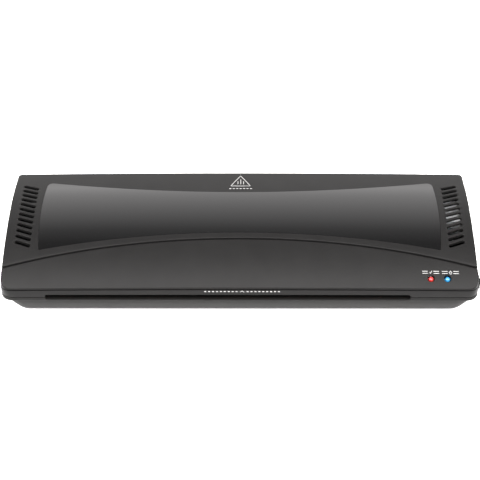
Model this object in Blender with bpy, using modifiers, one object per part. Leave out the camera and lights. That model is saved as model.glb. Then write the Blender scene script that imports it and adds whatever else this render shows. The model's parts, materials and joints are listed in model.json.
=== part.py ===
"""Wide desktop pouch laminator, modelled as its separate pieces.

Frame: +X to the right, +Y to the rear, +Z up, metres. The origin is on the table under the middle
of the machine, and the feed slot faces -Y.
"""

import math

import bmesh
import bpy
from mathutils import Matrix, Vector

MM = 0.001
GAP = 0.3 * MM  # clearance between neighbouring pieces

# Casing, outside
HALF_WIDTH = 218.5 * MM  # at the bezel ring and the rim of the lower housing
TOP_HALF_WIDTH = 217.5 * MM
FRONT_Y = -69.3 * MM
REAR_Y = 69.3 * MM
HEIGHT = 75.0 * MM
TOP_RADIUS = 200.0 * MM  # side profile of the top, highest at APEX_Y
APEX_Y = 50.0 * MM
REAR_FILLET = 7.0 * MM
REAR_FILLET_Y = 56.5 * MM
REAR_WALL_ANGLE = math.radians(80.0)  # from the vertical to the rear wall's normal
LIP_Z = 35.5 * MM  # top shells above, bezel ring below
SPLIT_Z = 24.6 * MM  # bezel ring above, lower housing below
RIM_Z = 20.6 * MM
FLOOR_Z = 2.6 * MM
WALL = 2.2 * MM
LIP_CROWN = 1.5 * MM  # how far the lip drops from the middle to the sides
TOP_CROWN = 1.8 * MM
SIDE_LEAN = 2.0 * MM  # how far the sides lean in from the lip to the top
CROWN_SLICES = 7

# Base below the rim
BASE_FRONT_Y = FRONT_Y + 10.0 * MM
BASE_REAR_Y = REAR_Y - 4.0 * MM
BASE_HALF_WIDTH = HALF_WIDTH - 13.0 * MM
FLANGE = 1.4 * MM  # thickness of the step between base and rim

# Top surface features, as plan positions
SEAM_Y = -26.5 * MM
SEAM_BOW = 24.8 * MM  # how far the seam runs forward at SEAM_HALF
SEAM_HALF = 215.0 * MM
SEAM_GAP = 0.5 * MM
GLOSS_HALF = 186.3 * MM
GLOSS_TOP_Y = 28.0 * MM
GLOSS_TOP_BOW = 15.4 * MM
GLOSS_BOTTOM_Y = -20.2 * MM
GLOSS_BOTTOM_BOW = -16.3 * MM
GLOSS_CORNER = 4.0 * MM
GLOSS_THICKNESS = 1.0 * MM
VENTS = 12
VENT_INNER_X = 194.9 * MM
VENT_OUTER_X = 206.7 * MM
VENT_FIRST_Y = -30.5 * MM
VENT_PITCH = 6.03 * MM
VENT_SLANT = 3.8 * MM
VENT_HALF = 1.3 * MM
LED_Y = -61.0 * MM
LED_XS = {"ready_led": 174.4 * MM, "power_led": 189.5 * MM}
LED_HOLE = 3.3 * MM
LED_RADIUS = 2.45 * MM

# Slots for the pouch
SLOT_MIDDLE_X = -10.5 * MM
SLOT_HALF = 166.2 * MM
FEED_SLOT = (21.6 * MM, 27.2 * MM)
EXIT_SLOT = (25.6 * MM, 31.4 * MM)

# Rollers and their gears, in the frame's side plates
NIP_Z = 28.5 * MM
FRONT_ROLLER_Y = -30.0 * MM
REAR_ROLLER_Y = 20.0 * MM
AXLE_HALF_SPACING = 10.0 * MM
ROLLER_RADIUS = 9.9 * MM
ROLLER_HALF = 167.5 * MM
SHAFT_RADIUS = 4.0 * MM
BORE_RADIUS = 4.08 * MM
MODULE = 1.0 * MM
ROLLER_TEETH = 20
IDLER_TEETH = 40
PINION_TEETH = 12
PRESSURE_ANGLE = math.radians(20.0)
ADDENDUM = 0.8 * MM
DEDENDUM = 1.1 * MM
BACKLASH = 0.24 * MM
IDLER_Y = (FRONT_ROLLER_Y + REAR_ROLLER_Y) / 2
PINION_Y = 18.6 * MM
LEFT_PLATE_X = -186.4 * MM
RIGHT_PLATE_X = 164.4 * MM
PLATE = 2.0 * MM
LOWER_GEAR_X = (169.0 * MM, 184.0 * MM)
UPPER_GEAR_X = (169.0 * MM, 176.0 * MM)
IDLER_X = (177.5 * MM, 184.0 * MM)
SHAFT_LEFT_X = -193.0 * MM
BLOCK_HALF_Y = 8.5 * MM
BLOCK_LOW_Z = NIP_Z + 3.5 * MM
BLOCK_HIGH_Z = NIP_Z + 15.3 * MM
BLOCK_HALF_X = 4.5 * MM
WINDOW_HALF_Y = 7.0 * MM
WINDOW_HIGH_Z = 48.2 * MM

# Power switch, on the right side
SWITCH_Y = -47.4 * MM
SWITCH_Z = 29.3 * MM
SWITCH_AXIS_X = 214.6 * MM
SWITCH_HALF_THROW = math.radians(10.0)

# Fixing posts and feet, mirrored left and right
POST_X = 196.0 * MM
POST_YS = (-49.0 * MM, 54.0 * MM)
FOOT_X = 176.0 * MM
FOOT_YS = (-46.0 * MM, 52.0 * MM)

# Mains inlet, in the rear wall of the base
INLET_X = 130.0 * MM
INLET_Z = 12.2 * MM
INLET_HALF = 10.5 * MM
INLET_HALF_Z = 5.6 * MM

# Motor, on a bracket outside the right side plate
MOTOR_X = (190.0 * MM, 209.0 * MM)
MOTOR_RADIUS = 19.3 * MM
BRACKET_X = (186.4 * MM, 188.0 * MM)

# Heating plates, above and below the pouch's path
HEATER_Y = (-18.0 * MM, 8.0 * MM)
HEATER_HALF_GAP = 1.0 * MM
HEATER_THICKNESS = 3.0 * MM
ELEMENT_Y = (-13.0 * MM, 3.0 * MM)
ELEMENT_THICKNESS = 2.4 * MM
GUARD_Y = -5.0 * MM
THERMOSTAT_X = -44.0 * MM
FUSE_X = 30.0 * MM

# Other pieces inside
TIE_ROD = (36.0 * MM, 11.0 * MM, 3.2 * MM)  # y, z and radius
BOARD = (-60.0 * MM, 53.5 * MM, 8.5 * MM)  # middle of the control board's underside
BOARD_HALF = (42.0 * MM, 8.6 * MM)

SCREW_HEAD_RADIUS = 3.4 * MM
SCREW_RADIUS = 1.5 * MM
SCREW_LENGTH = 32.0 * MM
POST_HOLE = 1.8 * MM
POST_RADIUS = 5.2 * MM
BOSS_RADIUS = 3.8 * MM
FOOT_RADIUS = 6.5 * MM
FOOT_STUD = 2.0 * MM

ROUND = 20  # sides of a turned piece
FINE = 16


# ---------------------------------------------------------------- scene and materials


def clear_scene():
    for obj in list(bpy.data.objects):
        bpy.data.objects.remove(obj, do_unlink=True)
    for name in ("pouch_laminator", "pouch_laminator_cutters"):
        bpy.context.scene.collection.children.link(bpy.data.collections.new(name))


def material(name, colour, roughness, metallic=0.0):
    made = bpy.data.materials.get(name)
    if made is None:
        made = bpy.data.materials.new(name)
        made.use_nodes = True
        shader = made.node_tree.nodes["Principled BSDF"]
        shader.inputs["Base Color"].default_value = (*colour, 1.0)
        shader.inputs["Roughness"].default_value = roughness
        shader.inputs["Metallic"].default_value = metallic
    return made


def charcoal():
    return material("charcoal_plastic", (0.045, 0.045, 0.047), 0.55)


def grey_plastic():
    return material("grey_base_plastic", (0.11, 0.11, 0.115), 0.6)


def gloss():
    return material("gloss_black", (0.02, 0.02, 0.022), 0.08)


def steel():
    return material("zinc_steel", (0.55, 0.55, 0.56), 0.35, 1.0)


def bright_steel():
    return material("ground_steel", (0.65, 0.65, 0.66), 0.2, 1.0)


def aluminium():
    return material("aluminium", (0.75, 0.75, 0.77), 0.4, 1.0)


def rubber():
    return material("silicone_rubber", (0.32, 0.05, 0.03), 0.7)


def black_rubber():
    return material("black_rubber", (0.02, 0.02, 0.02), 0.8)


def acetal():
    return material("white_acetal", (0.8, 0.79, 0.74), 0.45)


def board_green():
    return material("circuit_board", (0.02, 0.16, 0.06), 0.5)


# ---------------------------------------------------------------- shape helpers


def put(obj, mat=None):
    """Files a finished piece in the machine's collection."""
    bpy.data.collections["pouch_laminator"].objects.link(obj)
    if mat:
        obj.data.materials.clear()
        obj.data.materials.append(mat)
    return obj


def shade_smooth(obj, angle=35.0):
    obj.data.shade_smooth()
    obj.data.set_sharp_from_angle(angle=math.radians(angle))
    return obj


def mesh_of(helper):
    """A welded mesh object in place of a curve or a modified object."""
    bpy.context.view_layer.update()
    graph = bpy.context.evaluated_depsgraph_get()
    mesh = bpy.data.meshes.new_from_object(helper.evaluated_get(graph))
    form = bmesh.new()
    form.from_mesh(mesh)
    bmesh.ops.remove_doubles(form, verts=form.verts, dist=1e-6)
    bmesh.ops.recalc_face_normals(form, faces=form.faces)
    form.to_mesh(mesh)
    form.free()
    name, place = helper.name, helper.matrix_world.copy()
    bpy.data.objects.remove(helper, do_unlink=True)
    mesh.name = name
    made = bpy.data.objects.new(name, mesh)
    made.matrix_world = place
    return made


AXES = {
    "X": Matrix(((0, 0, 1), (1, 0, 0), (0, 1, 0))),
    "Y": Matrix(((1, 0, 0), (0, 0, -1), (0, 1, 0))),
    "Z": Matrix.Identity(3),
}


def flat(name, outlines, along, centre, thickness, mat=None):
    """Flat outlines, the first one solid and the rest holes, given thickness along a row axis.

    An outline is in (y, z) along X, in (x, z) along Y and in (x, y) along Z, from centre.
    """
    curve = bpy.data.curves.new(name, "CURVE")
    curve.dimensions = "2D"
    curve.fill_mode = "BOTH"
    curve.extrude = thickness / 2
    for outline in outlines:
        spline = curve.splines.new("POLY")
        spline.points.add(len(outline) - 1)
        for point, (u, v) in zip(spline.points, outline):
            point.co = (u, v, 0, 1)
        spline.use_cyclic_u = True
    helper = bpy.data.objects.new(name, curve)
    helper.matrix_world = Matrix.Translation(centre) @ AXES[along].to_4x4()
    bpy.context.scene.collection.objects.link(helper)
    return put(mesh_of(helper), mat)


def block(name, low, high, mat=None):
    low, high = Vector(low), Vector(high)
    form = bmesh.new()
    bmesh.ops.create_cube(form, size=1.0)
    bmesh.ops.scale(form, vec=high - low, verts=form.verts)
    mesh = bpy.data.meshes.new(name)
    form.to_mesh(mesh)
    form.free()
    obj = bpy.data.objects.new(name, mesh)
    obj.location = (low + high) / 2
    return put(obj, mat)


def cylinder(name, centre, radius, length, direction=(0, 0, 1), mat=None, sides=FINE):
    form = bmesh.new()
    bmesh.ops.create_cone(form, cap_ends=True, segments=sides, radius1=radius, radius2=radius, depth=length)
    mesh = bpy.data.meshes.new(name)
    form.to_mesh(mesh)
    form.free()
    obj = bpy.data.objects.new(name, mesh)
    obj.location = centre
    obj.rotation_euler = Vector(direction).to_track_quat("Z", "Y").to_euler()
    return shade_smooth(put(obj, mat))


def turned(name, profile, centre, direction, mat, sides=ROUND, ring=False):
    """A profile of (radius, height) pairs, listed down its outer side, turned about direction."""
    form = bmesh.new()
    points = [form.verts.new((radius, 0, height)) for radius, height in profile]
    for first, second in zip(points, points[1:]):
        form.edges.new((first, second))
    if ring:
        form.edges.new((points[-1], points[0]))
    mesh = bpy.data.meshes.new(name)
    form.to_mesh(mesh)
    form.free()
    obj = bpy.data.objects.new(name, mesh)
    obj.location = centre
    obj.rotation_euler = Vector(direction).to_track_quat("Z", "Y").to_euler()
    bpy.context.scene.collection.objects.link(obj)
    screw = obj.modifiers.new("turn", "SCREW")
    screw.steps = screw.render_steps = sides
    screw.use_merge_vertices = True
    screw.merge_threshold = 1e-5
    return shade_smooth(put(mesh_of(obj), mat))


def combine(piece, tool, operation):
    """Cuts, joins or trims piece with tool, which becomes a hidden helper."""
    step = piece.modifiers.new(tool.name, "BOOLEAN")
    step.operation = operation
    step.object = tool
    for home in list(tool.users_collection):
        home.objects.unlink(tool)
    bpy.data.collections["pouch_laminator_cutters"].objects.link(tool)
    tool.hide_render = True
    tool.display_type = "WIRE"
    return piece


def cut(piece, *tools):
    for tool in tools:
        combine(piece, tool, "DIFFERENCE")
    return piece


def join(piece, *tools):
    for tool in tools:
        combine(piece, tool, "UNION")
    return piece


def trim(piece, *tools):
    for tool in tools:
        combine(piece, tool, "INTERSECT")
    return piece


def arc(centre, radius, start, end, steps):
    """Points of an arc from start to end, angles counter-clockwise from the first axis."""
    return [
        (
            centre[0] + radius * math.cos(start + (end - start) * i / steps),
            centre[1] + radius * math.sin(start + (end - start) * i / steps),
        )
        for i in range(steps + 1)
    ]


def circle(centre, radius, sides=FINE):
    return arc(centre, radius, 0.0, 2 * math.pi * (1 - 1 / sides), sides - 1)


def rectangle(low, high):
    return [low, (high[0], low[1]), high, (low[0], high[1])]


def stadium(start, end, half_width, steps=3):
    """A round-ended slot between two end centres."""
    lean = math.atan2(end[1] - start[1], end[0] - start[0])
    quarter = math.pi / 2
    return arc(end, half_width, lean - quarter, lean + quarter, steps) + arc(
        start, half_width, lean + quarter, lean + 3 * quarter, steps
    )


def rounded_corners(points, radii, steps=4):
    """The polygon with an arc of the given radius at each corner that has one."""
    made = []
    for i, (corner, radius) in enumerate(zip(points, radii)):
        if not radius:
            made.append(corner)
            continue
        here = Vector(corner)
        back = (Vector(points[i - 1]) - here).normalized()
        on = (Vector(points[(i + 1) % len(points)]) - here).normalized()
        half = back.angle(on) / 2
        middle = here + (back + on).normalized() * radius / math.sin(half)
        for j in range(steps + 1):
            swing = (j / steps - 0.5) * (math.pi - 2 * half)
            side = back.cross(on)
            turn = math.copysign(1.0, side) * -swing
            made.append(tuple(middle - Matrix.Rotation(turn, 2) @ (back + on).normalized() * radius))
    return made


# ---------------------------------------------------------------- casing


def seam_y(x):
    return SEAM_Y - SEAM_BOW * (x / SEAM_HALF) ** 2


def crowned(point):
    """Where a point of the casing lies once the top is crowned from side to side and its sides lean in."""
    x, y, z = point
    lip = min(max((z - SPLIT_Z) / (LIP_Z - SPLIT_Z), 0.0), 1.0)
    top = max((z - LIP_Z) / (HEIGHT - LIP_Z), 0.0)
    drop = LIP_CROWN * lip + (TOP_CROWN - LIP_CROWN) * top
    return Vector((x * (1 - SIDE_LEAN / TOP_HALF_WIDTH * top), y, z - drop * (x / TOP_HALF_WIDTH) ** 2))


def crown(obj, mat):
    """Bakes the piece, slices it across X and gives it the casing's crown."""
    made = put(mesh_of(obj), mat)
    made.data.transform(made.matrix_world)
    made.matrix_world = Matrix.Identity(4)
    form = bmesh.new()
    form.from_mesh(made.data)
    for i in range(CROWN_SLICES):
        x = HALF_WIDTH * (2 * (i + 1) / (CROWN_SLICES + 1) - 1)
        everything = form.verts[:] + form.edges[:] + form.faces[:]
        bmesh.ops.bisect_plane(form, geom=everything, plane_co=(x, 0, 0), plane_no=(1, 0, 0), dist=1e-6)
    bmesh.ops.triangulate(form, faces=form.faces)
    for vert in form.verts:
        vert.co = crowned(vert.co)
    form.to_mesh(made.data)
    form.free()
    return shade_smooth(made, 25.0)


def plan_outline(half_width, front, rear, front_radius, rear_radius, steps=6):
    corners = [(-half_width, front), (half_width, front), (half_width, rear), (-half_width, rear)]
    return rounded_corners(corners, [front_radius, front_radius, rear_radius, rear_radius], steps)


def upright(name, outline, low, high, mat=None):
    """An outline in plan, raised from low to high."""
    return flat(name, [outline], "Z", (0, 0, (low + high) / 2), high - low, mat)


def top_side_outline(inset, bottom):
    """Side outline of the top in (y, z): the large arc, the rear fillet and the leaning rear wall."""
    centre = (APEX_Y, HEIGHT - TOP_RADIUS)
    big = TOP_RADIUS - inset
    start = math.pi - math.asin((bottom - centre[1]) / big)
    tangent = math.asin((REAR_FILLET_Y - APEX_Y) / (TOP_RADIUS - REAR_FILLET))
    quarter = math.pi / 2
    outline = arc(centre, big, start, quarter - tangent, 13)
    fillet_centre = (REAR_FILLET_Y, centre[1] + (TOP_RADIUS - REAR_FILLET) * math.cos(tangent))
    small = REAR_FILLET - inset
    outline += arc(fillet_centre, small, quarter - tangent, quarter - REAR_WALL_ANGLE, 5)[1:]
    last_y, last_z = outline[-1]
    outline.append((last_y + (last_z - bottom) / math.tan(REAR_WALL_ANGLE), bottom))
    return outline


def top_solid(name, inset, bottom):
    """The top of the casing as one solid, inset from the outside and running down to bottom."""
    side = flat(name, [top_side_outline(inset, bottom)], "X", (0, 0, 0), 2 * HALF_WIDTH)
    plan = plan_outline(
        TOP_HALF_WIDTH - inset, FRONT_Y + inset, REAR_Y - inset, 9.5 * MM - inset, 4.5 * MM - inset / 2
    )
    return trim(side, upright(f"{name}_plan", plan, 0.0, 2 * HEIGHT))


def seam_side(name, front, gap):
    """Everything in front of the seam, or behind it, in plan."""
    reach = HALF_WIDTH + 5 * MM
    steps = 28
    edge = [-reach + 2 * reach * i / steps for i in range(steps + 1)]
    shift = -gap / 2 if front else gap / 2
    line = [(x, seam_y(x) + shift) for x in edge]
    far = FRONT_Y - 10 * MM if front else REAR_Y + 10 * MM
    return upright(name, line + [(reach, far), (-reach, far)], 0.0, 2 * HEIGHT)


def gloss_outline(grow):
    """Plan of the gloss insert, waisted in the middle, grown outwards by grow."""
    half = GLOSS_HALF + grow
    steps = 16
    across = [half * (2 * i / steps - 1) for i in range(steps + 1)]
    bottom = [(x, GLOSS_BOTTOM_Y + GLOSS_BOTTOM_BOW * (x / GLOSS_HALF) ** 2 - grow) for x in across]
    top = [(x, GLOSS_TOP_Y + GLOSS_TOP_BOW * (x / GLOSS_HALF) ** 2 + grow) for x in reversed(across)]
    corner = GLOSS_CORNER + grow
    ends = [corner] + [0] * (steps - 1) + [corner]
    return rounded_corners(bottom + top, ends + ends)


def top_height(y, inset=0.0):
    return HEIGHT - TOP_RADIUS + math.sqrt((TOP_RADIUS - inset) ** 2 - (y - APEX_Y) ** 2)


def boss(name, x, y):
    """A hollow screw boss hanging from the inside of the top."""
    low = SPLIT_Z + 2 * GAP
    post = cylinder(name, (x, y, (low + HEIGHT) / 2), BOSS_RADIUS, HEIGHT - low, sides=16)
    inside = cylinder(f"{name}_hole", (x, y, low + 5 * MM), POST_HOLE, 20 * MM, sides=12)
    trim(post, top_solid(f"{name}_trim", 1.1 * MM, low - 5 * MM))
    return cut(post, inside)


def top_shell(name, front):
    """The front or rear part of the top as a thin shell with its two screw bosses."""
    shell = top_solid(name, 0.0, LIP_Z)
    cut(shell, top_solid(f"{name}_inside", WALL, LIP_Z - 5 * MM))
    y = POST_YS[0] if front else POST_YS[1]
    join(shell, *(boss(f"{name}_boss_{side}", x, y) for side, x in (("left", -POST_X), ("right", POST_X))))
    return trim(shell, seam_side(f"{name}_side", front, SEAM_GAP))


def led_axis(y):
    """The top's outward direction at y, seen from the side."""
    lean = math.asin((APEX_Y - y) / TOP_RADIUS)
    return Vector((0, -math.sin(lean), math.cos(lean)))


def front_panel():
    panel = top_shell("front_panel", True)
    out = led_axis(LED_Y)
    for name, x in LED_XS.items():
        middle = Vector((x, LED_Y, top_height(LED_Y))) - out * 1.0 * MM
        cut(panel, cylinder(f"{name}_opening", middle, LED_HOLE, 12 * MM, out, sides=20))
    crown(panel, charcoal())


def vent_outlines(side):
    """The slanted cooling slots on one side, in plan."""
    for i in range(VENTS):
        y = VENT_FIRST_Y + VENT_PITCH * i
        yield stadium(
            (side * VENT_INNER_X, y - VENT_SLANT / 2), (side * VENT_OUTER_X, y + VENT_SLANT / 2), VENT_HALF
        )


def top_cover():
    cover = top_shell("top_cover", False)
    recess = upright("gloss_recess", gloss_outline(GAP), 0.0, 2 * HEIGHT)
    cut(recess, top_solid("gloss_recess_floor", GLOSS_THICKNESS + GAP, 0.0))
    cut(cover, recess)
    for side in (-1, 1):
        for number, outline in enumerate(vent_outlines(side)):
            word = "left" if side < 0 else "right"
            cut(cover, upright(f"vent_{word}_{number}", outline, LIP_Z, 2 * HEIGHT))
    crown(cover, charcoal())


def gloss_panel():
    panel = top_solid("gloss_panel", 0.0, LIP_Z)
    cut(panel, top_solid("gloss_panel_back", GLOSS_THICKNESS, LIP_Z - 5 * MM))
    trim(panel, upright("gloss_panel_plan", gloss_outline(0.0), 0.0, 2 * HEIGHT))
    crown(panel, gloss())


def ring_plan(inset):
    return plan_outline(
        HALF_WIDTH - inset, FRONT_Y + inset, REAR_Y - inset, 11.5 * MM - inset, 5.0 * MM - inset
    )


def slot_cutter(name, y, heights):
    low, high = heights
    x = (SLOT_MIDDLE_X - SLOT_HALF, SLOT_MIDDLE_X + SLOT_HALF)
    radius = 1.4 * MM
    outline = rounded_corners(rectangle((x[0], low), (x[1], high)), [radius] * 4, 3)
    return flat(name, [outline], "Y", (0, y, 0), 12 * MM)


def switch_opening(name, half_y, half_z, depth):
    """A box through the right side wall, round the switch."""
    return block(
        name,
        (HALF_WIDTH - depth, SWITCH_Y - half_y, SWITCH_Z - half_z),
        (HALF_WIDTH + 5 * MM, SWITCH_Y + half_y, SWITCH_Z + half_z),
    )


def bezel_ring():
    """The band round the machine that holds the feed slot, the exit slot and the switch."""
    low, high = SPLIT_Z + GAP / 2, LIP_Z - GAP
    outlines = [ring_plan(0.0), ring_plan(WALL)]
    ring = flat("bezel_ring", outlines, "Z", (0, 0, (low + high) / 2), high - low)
    cut(
        ring,
        slot_cutter("feed_opening_top", FRONT_Y, FEED_SLOT),
        slot_cutter("exit_opening", REAR_Y, EXIT_SLOT),
    )
    cut(crown(ring, charcoal()), switch_opening("switch_cutout", 9.6 * MM, 3.3 * MM, 6 * MM))


def lower_housing():
    base_corner = 10.0 * MM
    outer = upright(
        "lower_housing",
        plan_outline(BASE_HALF_WIDTH, BASE_FRONT_Y, BASE_REAR_Y, base_corner, 6 * MM),
        FLOOR_Z,
        RIM_Z + 1 * MM,
        grey_plastic(),
    )
    rim = upright("rim", ring_plan(0.0), RIM_Z, SPLIT_Z - GAP / 2)
    base_inside = upright(
        "base_inside",
        plan_outline(
            BASE_HALF_WIDTH - WALL,
            BASE_FRONT_Y + WALL,
            BASE_REAR_Y - WALL,
            base_corner - WALL,
            6 * MM - WALL,
        ),
        FLOOR_Z + WALL,
        HEIGHT,
    )
    rim_inside = upright("rim_inside", ring_plan(WALL), RIM_Z + FLANGE, HEIGHT)
    join(outer, rim)
    cut(outer, base_inside, rim_inside, slot_cutter("feed_opening_bottom", FRONT_Y, FEED_SLOT))
    for side in (-1, 1):
        for y in POST_YS:
            where = f"{'left' if side < 0 else 'right'}_{'front' if y < 0 else 'rear'}"
            x = side * POST_X
            top = SPLIT_Z - GAP
            join(
                outer,
                cylinder(f"post_{where}", (x, y, (FLOOR_Z + top) / 2), POST_RADIUS, top - FLOOR_Z - GAP),
            )
            cut(
                outer,
                cylinder(f"post_hole_{where}", (x, y, SPLIT_Z), POST_HOLE, 2 * SPLIT_Z, sides=12),
                cylinder(f"post_recess_{where}", (x, y, FLOOR_Z), SCREW_HEAD_RADIUS + 0.5 * MM, 9 * MM),
            )
        for y in FOOT_YS:
            where = f"{'left' if side < 0 else 'right'}_{'front' if y < 0 else 'rear'}"
            cut(
                outer,
                cylinder(f"foot_hole_{where}", (side * FOOT_X, y, FLOOR_Z), FOOT_STUD + GAP, 8 * MM),
            )
    cut(
        outer,
        block(
            "inlet_cutout",
            (INLET_X - INLET_HALF - GAP, BASE_REAR_Y - 6 * MM, INLET_Z - INLET_HALF_Z - GAP),
            (INLET_X + INLET_HALF + GAP, BASE_REAR_Y + 6 * MM, INLET_Z + INLET_HALF_Z + GAP),
        ),
    )


def case_screws():
    """The four screws that come up through the lower housing into the bosses of the top."""
    head, shank = SCREW_HEAD_RADIUS, SCREW_RADIUS
    profile = [
        (0, SCREW_LENGTH),
        (shank * 0.5, SCREW_LENGTH),
        (shank, SCREW_LENGTH - 2 * MM),
        (shank, 2.4 * MM),
        (head, 2.4 * MM),
        (head, 0.6 * MM),
        (head - 0.6 * MM, 0),
        (0, 0),
    ]
    for side, x in (("left", -POST_X), ("right", POST_X)):
        for end, y in (("front", POST_YS[0]), ("rear", POST_YS[1])):
            low = (x, y, FLOOR_Z + 1.6 * MM)
            screw = turned(f"case_screw_{end}_{side}", profile, low, (0, 0, 1), steel(), sides=12)
            recess = block(
                f"drive_recess_{end}_{side}",
                (x - 2.2 * MM, y - 0.5 * MM, low[2] - 1 * MM),
                (x + 2.2 * MM, y + 0.5 * MM, low[2] + 1.2 * MM),
            )
            cross = block(
                f"drive_cross_{end}_{side}",
                (x - 0.5 * MM, y - 2.2 * MM, low[2] - 1 * MM),
                (x + 0.5 * MM, y + 2.2 * MM, low[2] + 1.2 * MM),
            )
            cut(screw, recess, cross)


def feet():
    """Rubber feet, each with a stud through the floor."""
    top = FLOOR_Z - GAP
    profile = [
        (0, 6.4 * MM),
        (1.4 * MM, 6.4 * MM),
        (FOOT_STUD, 5.6 * MM),
        (FOOT_STUD, top),
        (FOOT_RADIUS, top),
        (FOOT_RADIUS, 0.8 * MM),
        (FOOT_RADIUS - 0.7 * MM, 0),
        (0, 0),
    ]
    for side, x in (("left", -FOOT_X), ("right", FOOT_X)):
        for end, y in (("front", FOOT_YS[0]), ("rear", FOOT_YS[1])):
            turned(f"foot_{end}_{side}", profile, (x, y, 0), (0, 0, 1), black_rubber(), sides=16)


# ---------------------------------------------------------------- lamps, switch and supply


def lamps():
    """The two round lamps and the small board that carries them, square to the front panel."""
    out = led_axis(LED_Y)
    length = 8.2 * MM
    dome = LED_RADIUS
    profile = [
        (dome * math.sin(a), length - dome + dome * math.cos(a))
        for a in (math.pi / 2 * i / 4 for i in range(5))
    ]
    profile[0] = (0, length)
    profile += [(dome, 1.0 * MM), (2.9 * MM, 1.0 * MM), (2.9 * MM, 0), (0, 0)]
    lens = {
        "ready_led": material("ready_red", (0.55, 0.02, 0.02), 0.15),
        "power_led": material("power_blue", (0.02, 0.25, 0.6), 0.15),
    }
    for name, x in LED_XS.items():
        surface = crowned(Vector((x, LED_Y, top_height(LED_Y))))
        turned(name, profile, surface - out * (length + 0.2 * MM), out, lens[name], sides=16)
    middle_x = sum(LED_XS.values()) / 2
    below = crowned(Vector((middle_x, LED_Y, top_height(LED_Y)))) - out * (length + 1.9 * MM)
    board = block("led_board", (-9.8 * MM, -4 * MM, -0.8 * MM), (9.8 * MM, 4 * MM, 0.8 * MM), board_green())
    board.location = below
    board.rotation_euler = out.to_track_quat("Z", "Y").to_euler()


def power_switch():
    half_y, half_z = 9.3 * MM, 3.0 * MM
    inner = HALF_WIDTH - 12 * MM
    face = HALF_WIDTH + 1.5 * MM
    housing = block(
        "switch_housing",
        (inner, SWITCH_Y - half_y, SWITCH_Z - half_z),
        (face, SWITCH_Y + half_y, SWITCH_Z + half_z),
        charcoal(),
    )
    flange = block(
        "switch_flange",
        (HALF_WIDTH + GAP, SWITCH_Y - 10.2 * MM, SWITCH_Z - 4.0 * MM),
        (face, SWITCH_Y + 10.2 * MM, SWITCH_Z + 4.0 * MM),
    )
    join(housing, flange)
    for i in (-1, 0, 1):
        y = SWITCH_Y + i * 5.5 * MM
        join(
            housing,
            block(
                f"switch_terminal_{i + 1}",
                (inner - 4.5 * MM, y - 0.4 * MM, SWITCH_Z - 1.5 * MM),
                (inner + 0.5 * MM, y + 0.4 * MM, SWITCH_Z + 1.5 * MM),
            ),
        )
    well = block(
        "switch_well",
        (SWITCH_AXIS_X - 5 * MM, SWITCH_Y - 8.6 * MM, SWITCH_Z - 2.4 * MM),
        (HALF_WIDTH, SWITCH_Y + 8.6 * MM, SWITCH_Z + 2.4 * MM),
    )
    window = block(
        "switch_window",
        (HALF_WIDTH - 1 * MM, SWITCH_Y - 8.2 * MM, SWITCH_Z - 2.4 * MM),
        (HALF_WIDTH + 4 * MM, SWITCH_Y + 8.2 * MM, SWITCH_Z + 2.4 * MM),
    )
    cut(housing, well, window)
    # The rocker turns about Z. Its neutral outline is symmetric, and the front half stands out when on.
    tip = (6.3 * MM, 6.8 * MM)
    neutral = [
        (-3.0 * MM, -2.4 * MM),
        (-1.0 * MM, -5.2 * MM),
        (4.6 * MM, -7.6 * MM),
        (tip[0], -tip[1]),
        (5.6 * MM, -2.5 * MM),
        (5.4 * MM, 0),
        (5.6 * MM, 2.5 * MM),
        tip,
        (4.6 * MM, 7.6 * MM),
        (-1.0 * MM, 5.2 * MM),
        (-3.0 * MM, 2.4 * MM),
    ]
    rocker = flat("switch_rocker", [neutral], "Z", (SWITCH_AXIS_X, SWITCH_Y, SWITCH_Z), 4.2 * MM, charcoal())
    rocker.rotation_euler = (0, 0, SWITCH_HALF_THROW)


def mains_inlet():
    """A small two-pin appliance inlet in the rear wall of the base."""
    face = BASE_REAR_Y + 1.5 * MM
    depth = 18 * MM
    radius = INLET_HALF_Z - 0.2 * MM

    def figure_eight(name, half, r, y_low, y_high):
        outline = stadium((-half + r, 0), (half - r, 0), r, 7)
        return flat(name, [outline], "Y", (INLET_X, (y_low + y_high) / 2, INLET_Z), y_high - y_low)

    inlet = figure_eight("mains_inlet", INLET_HALF, radius, face - depth, face - 0.4 * MM)
    inlet.data.materials.append(charcoal())
    join(inlet, figure_eight("inlet_flange", INLET_HALF + 2 * MM, radius + 1.6 * MM, BASE_REAR_Y + GAP, face))
    deep = face - 12 * MM
    cut(inlet, figure_eight("inlet_well", INLET_HALF - 1.5 * MM, radius - 1.4 * MM, deep, face + MM))
    for i in (-1, 1):
        x = INLET_X + i * 4.3 * MM
        pin = cylinder(
            f"inlet_pin_{i}", (x, face - 8 * MM, INLET_Z), 1.2 * MM, 10 * MM, (0, 1, 0), sides=12
        )
        tag = block(
            f"inlet_tag_{i}",
            (x - 1.5 * MM, face - depth - 5 * MM, INLET_Z - 0.4 * MM),
            (x + 1.5 * MM, face - depth + 0.5 * MM, INLET_Z + 0.4 * MM),
        )
        join(inlet, pin, tag)


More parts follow.
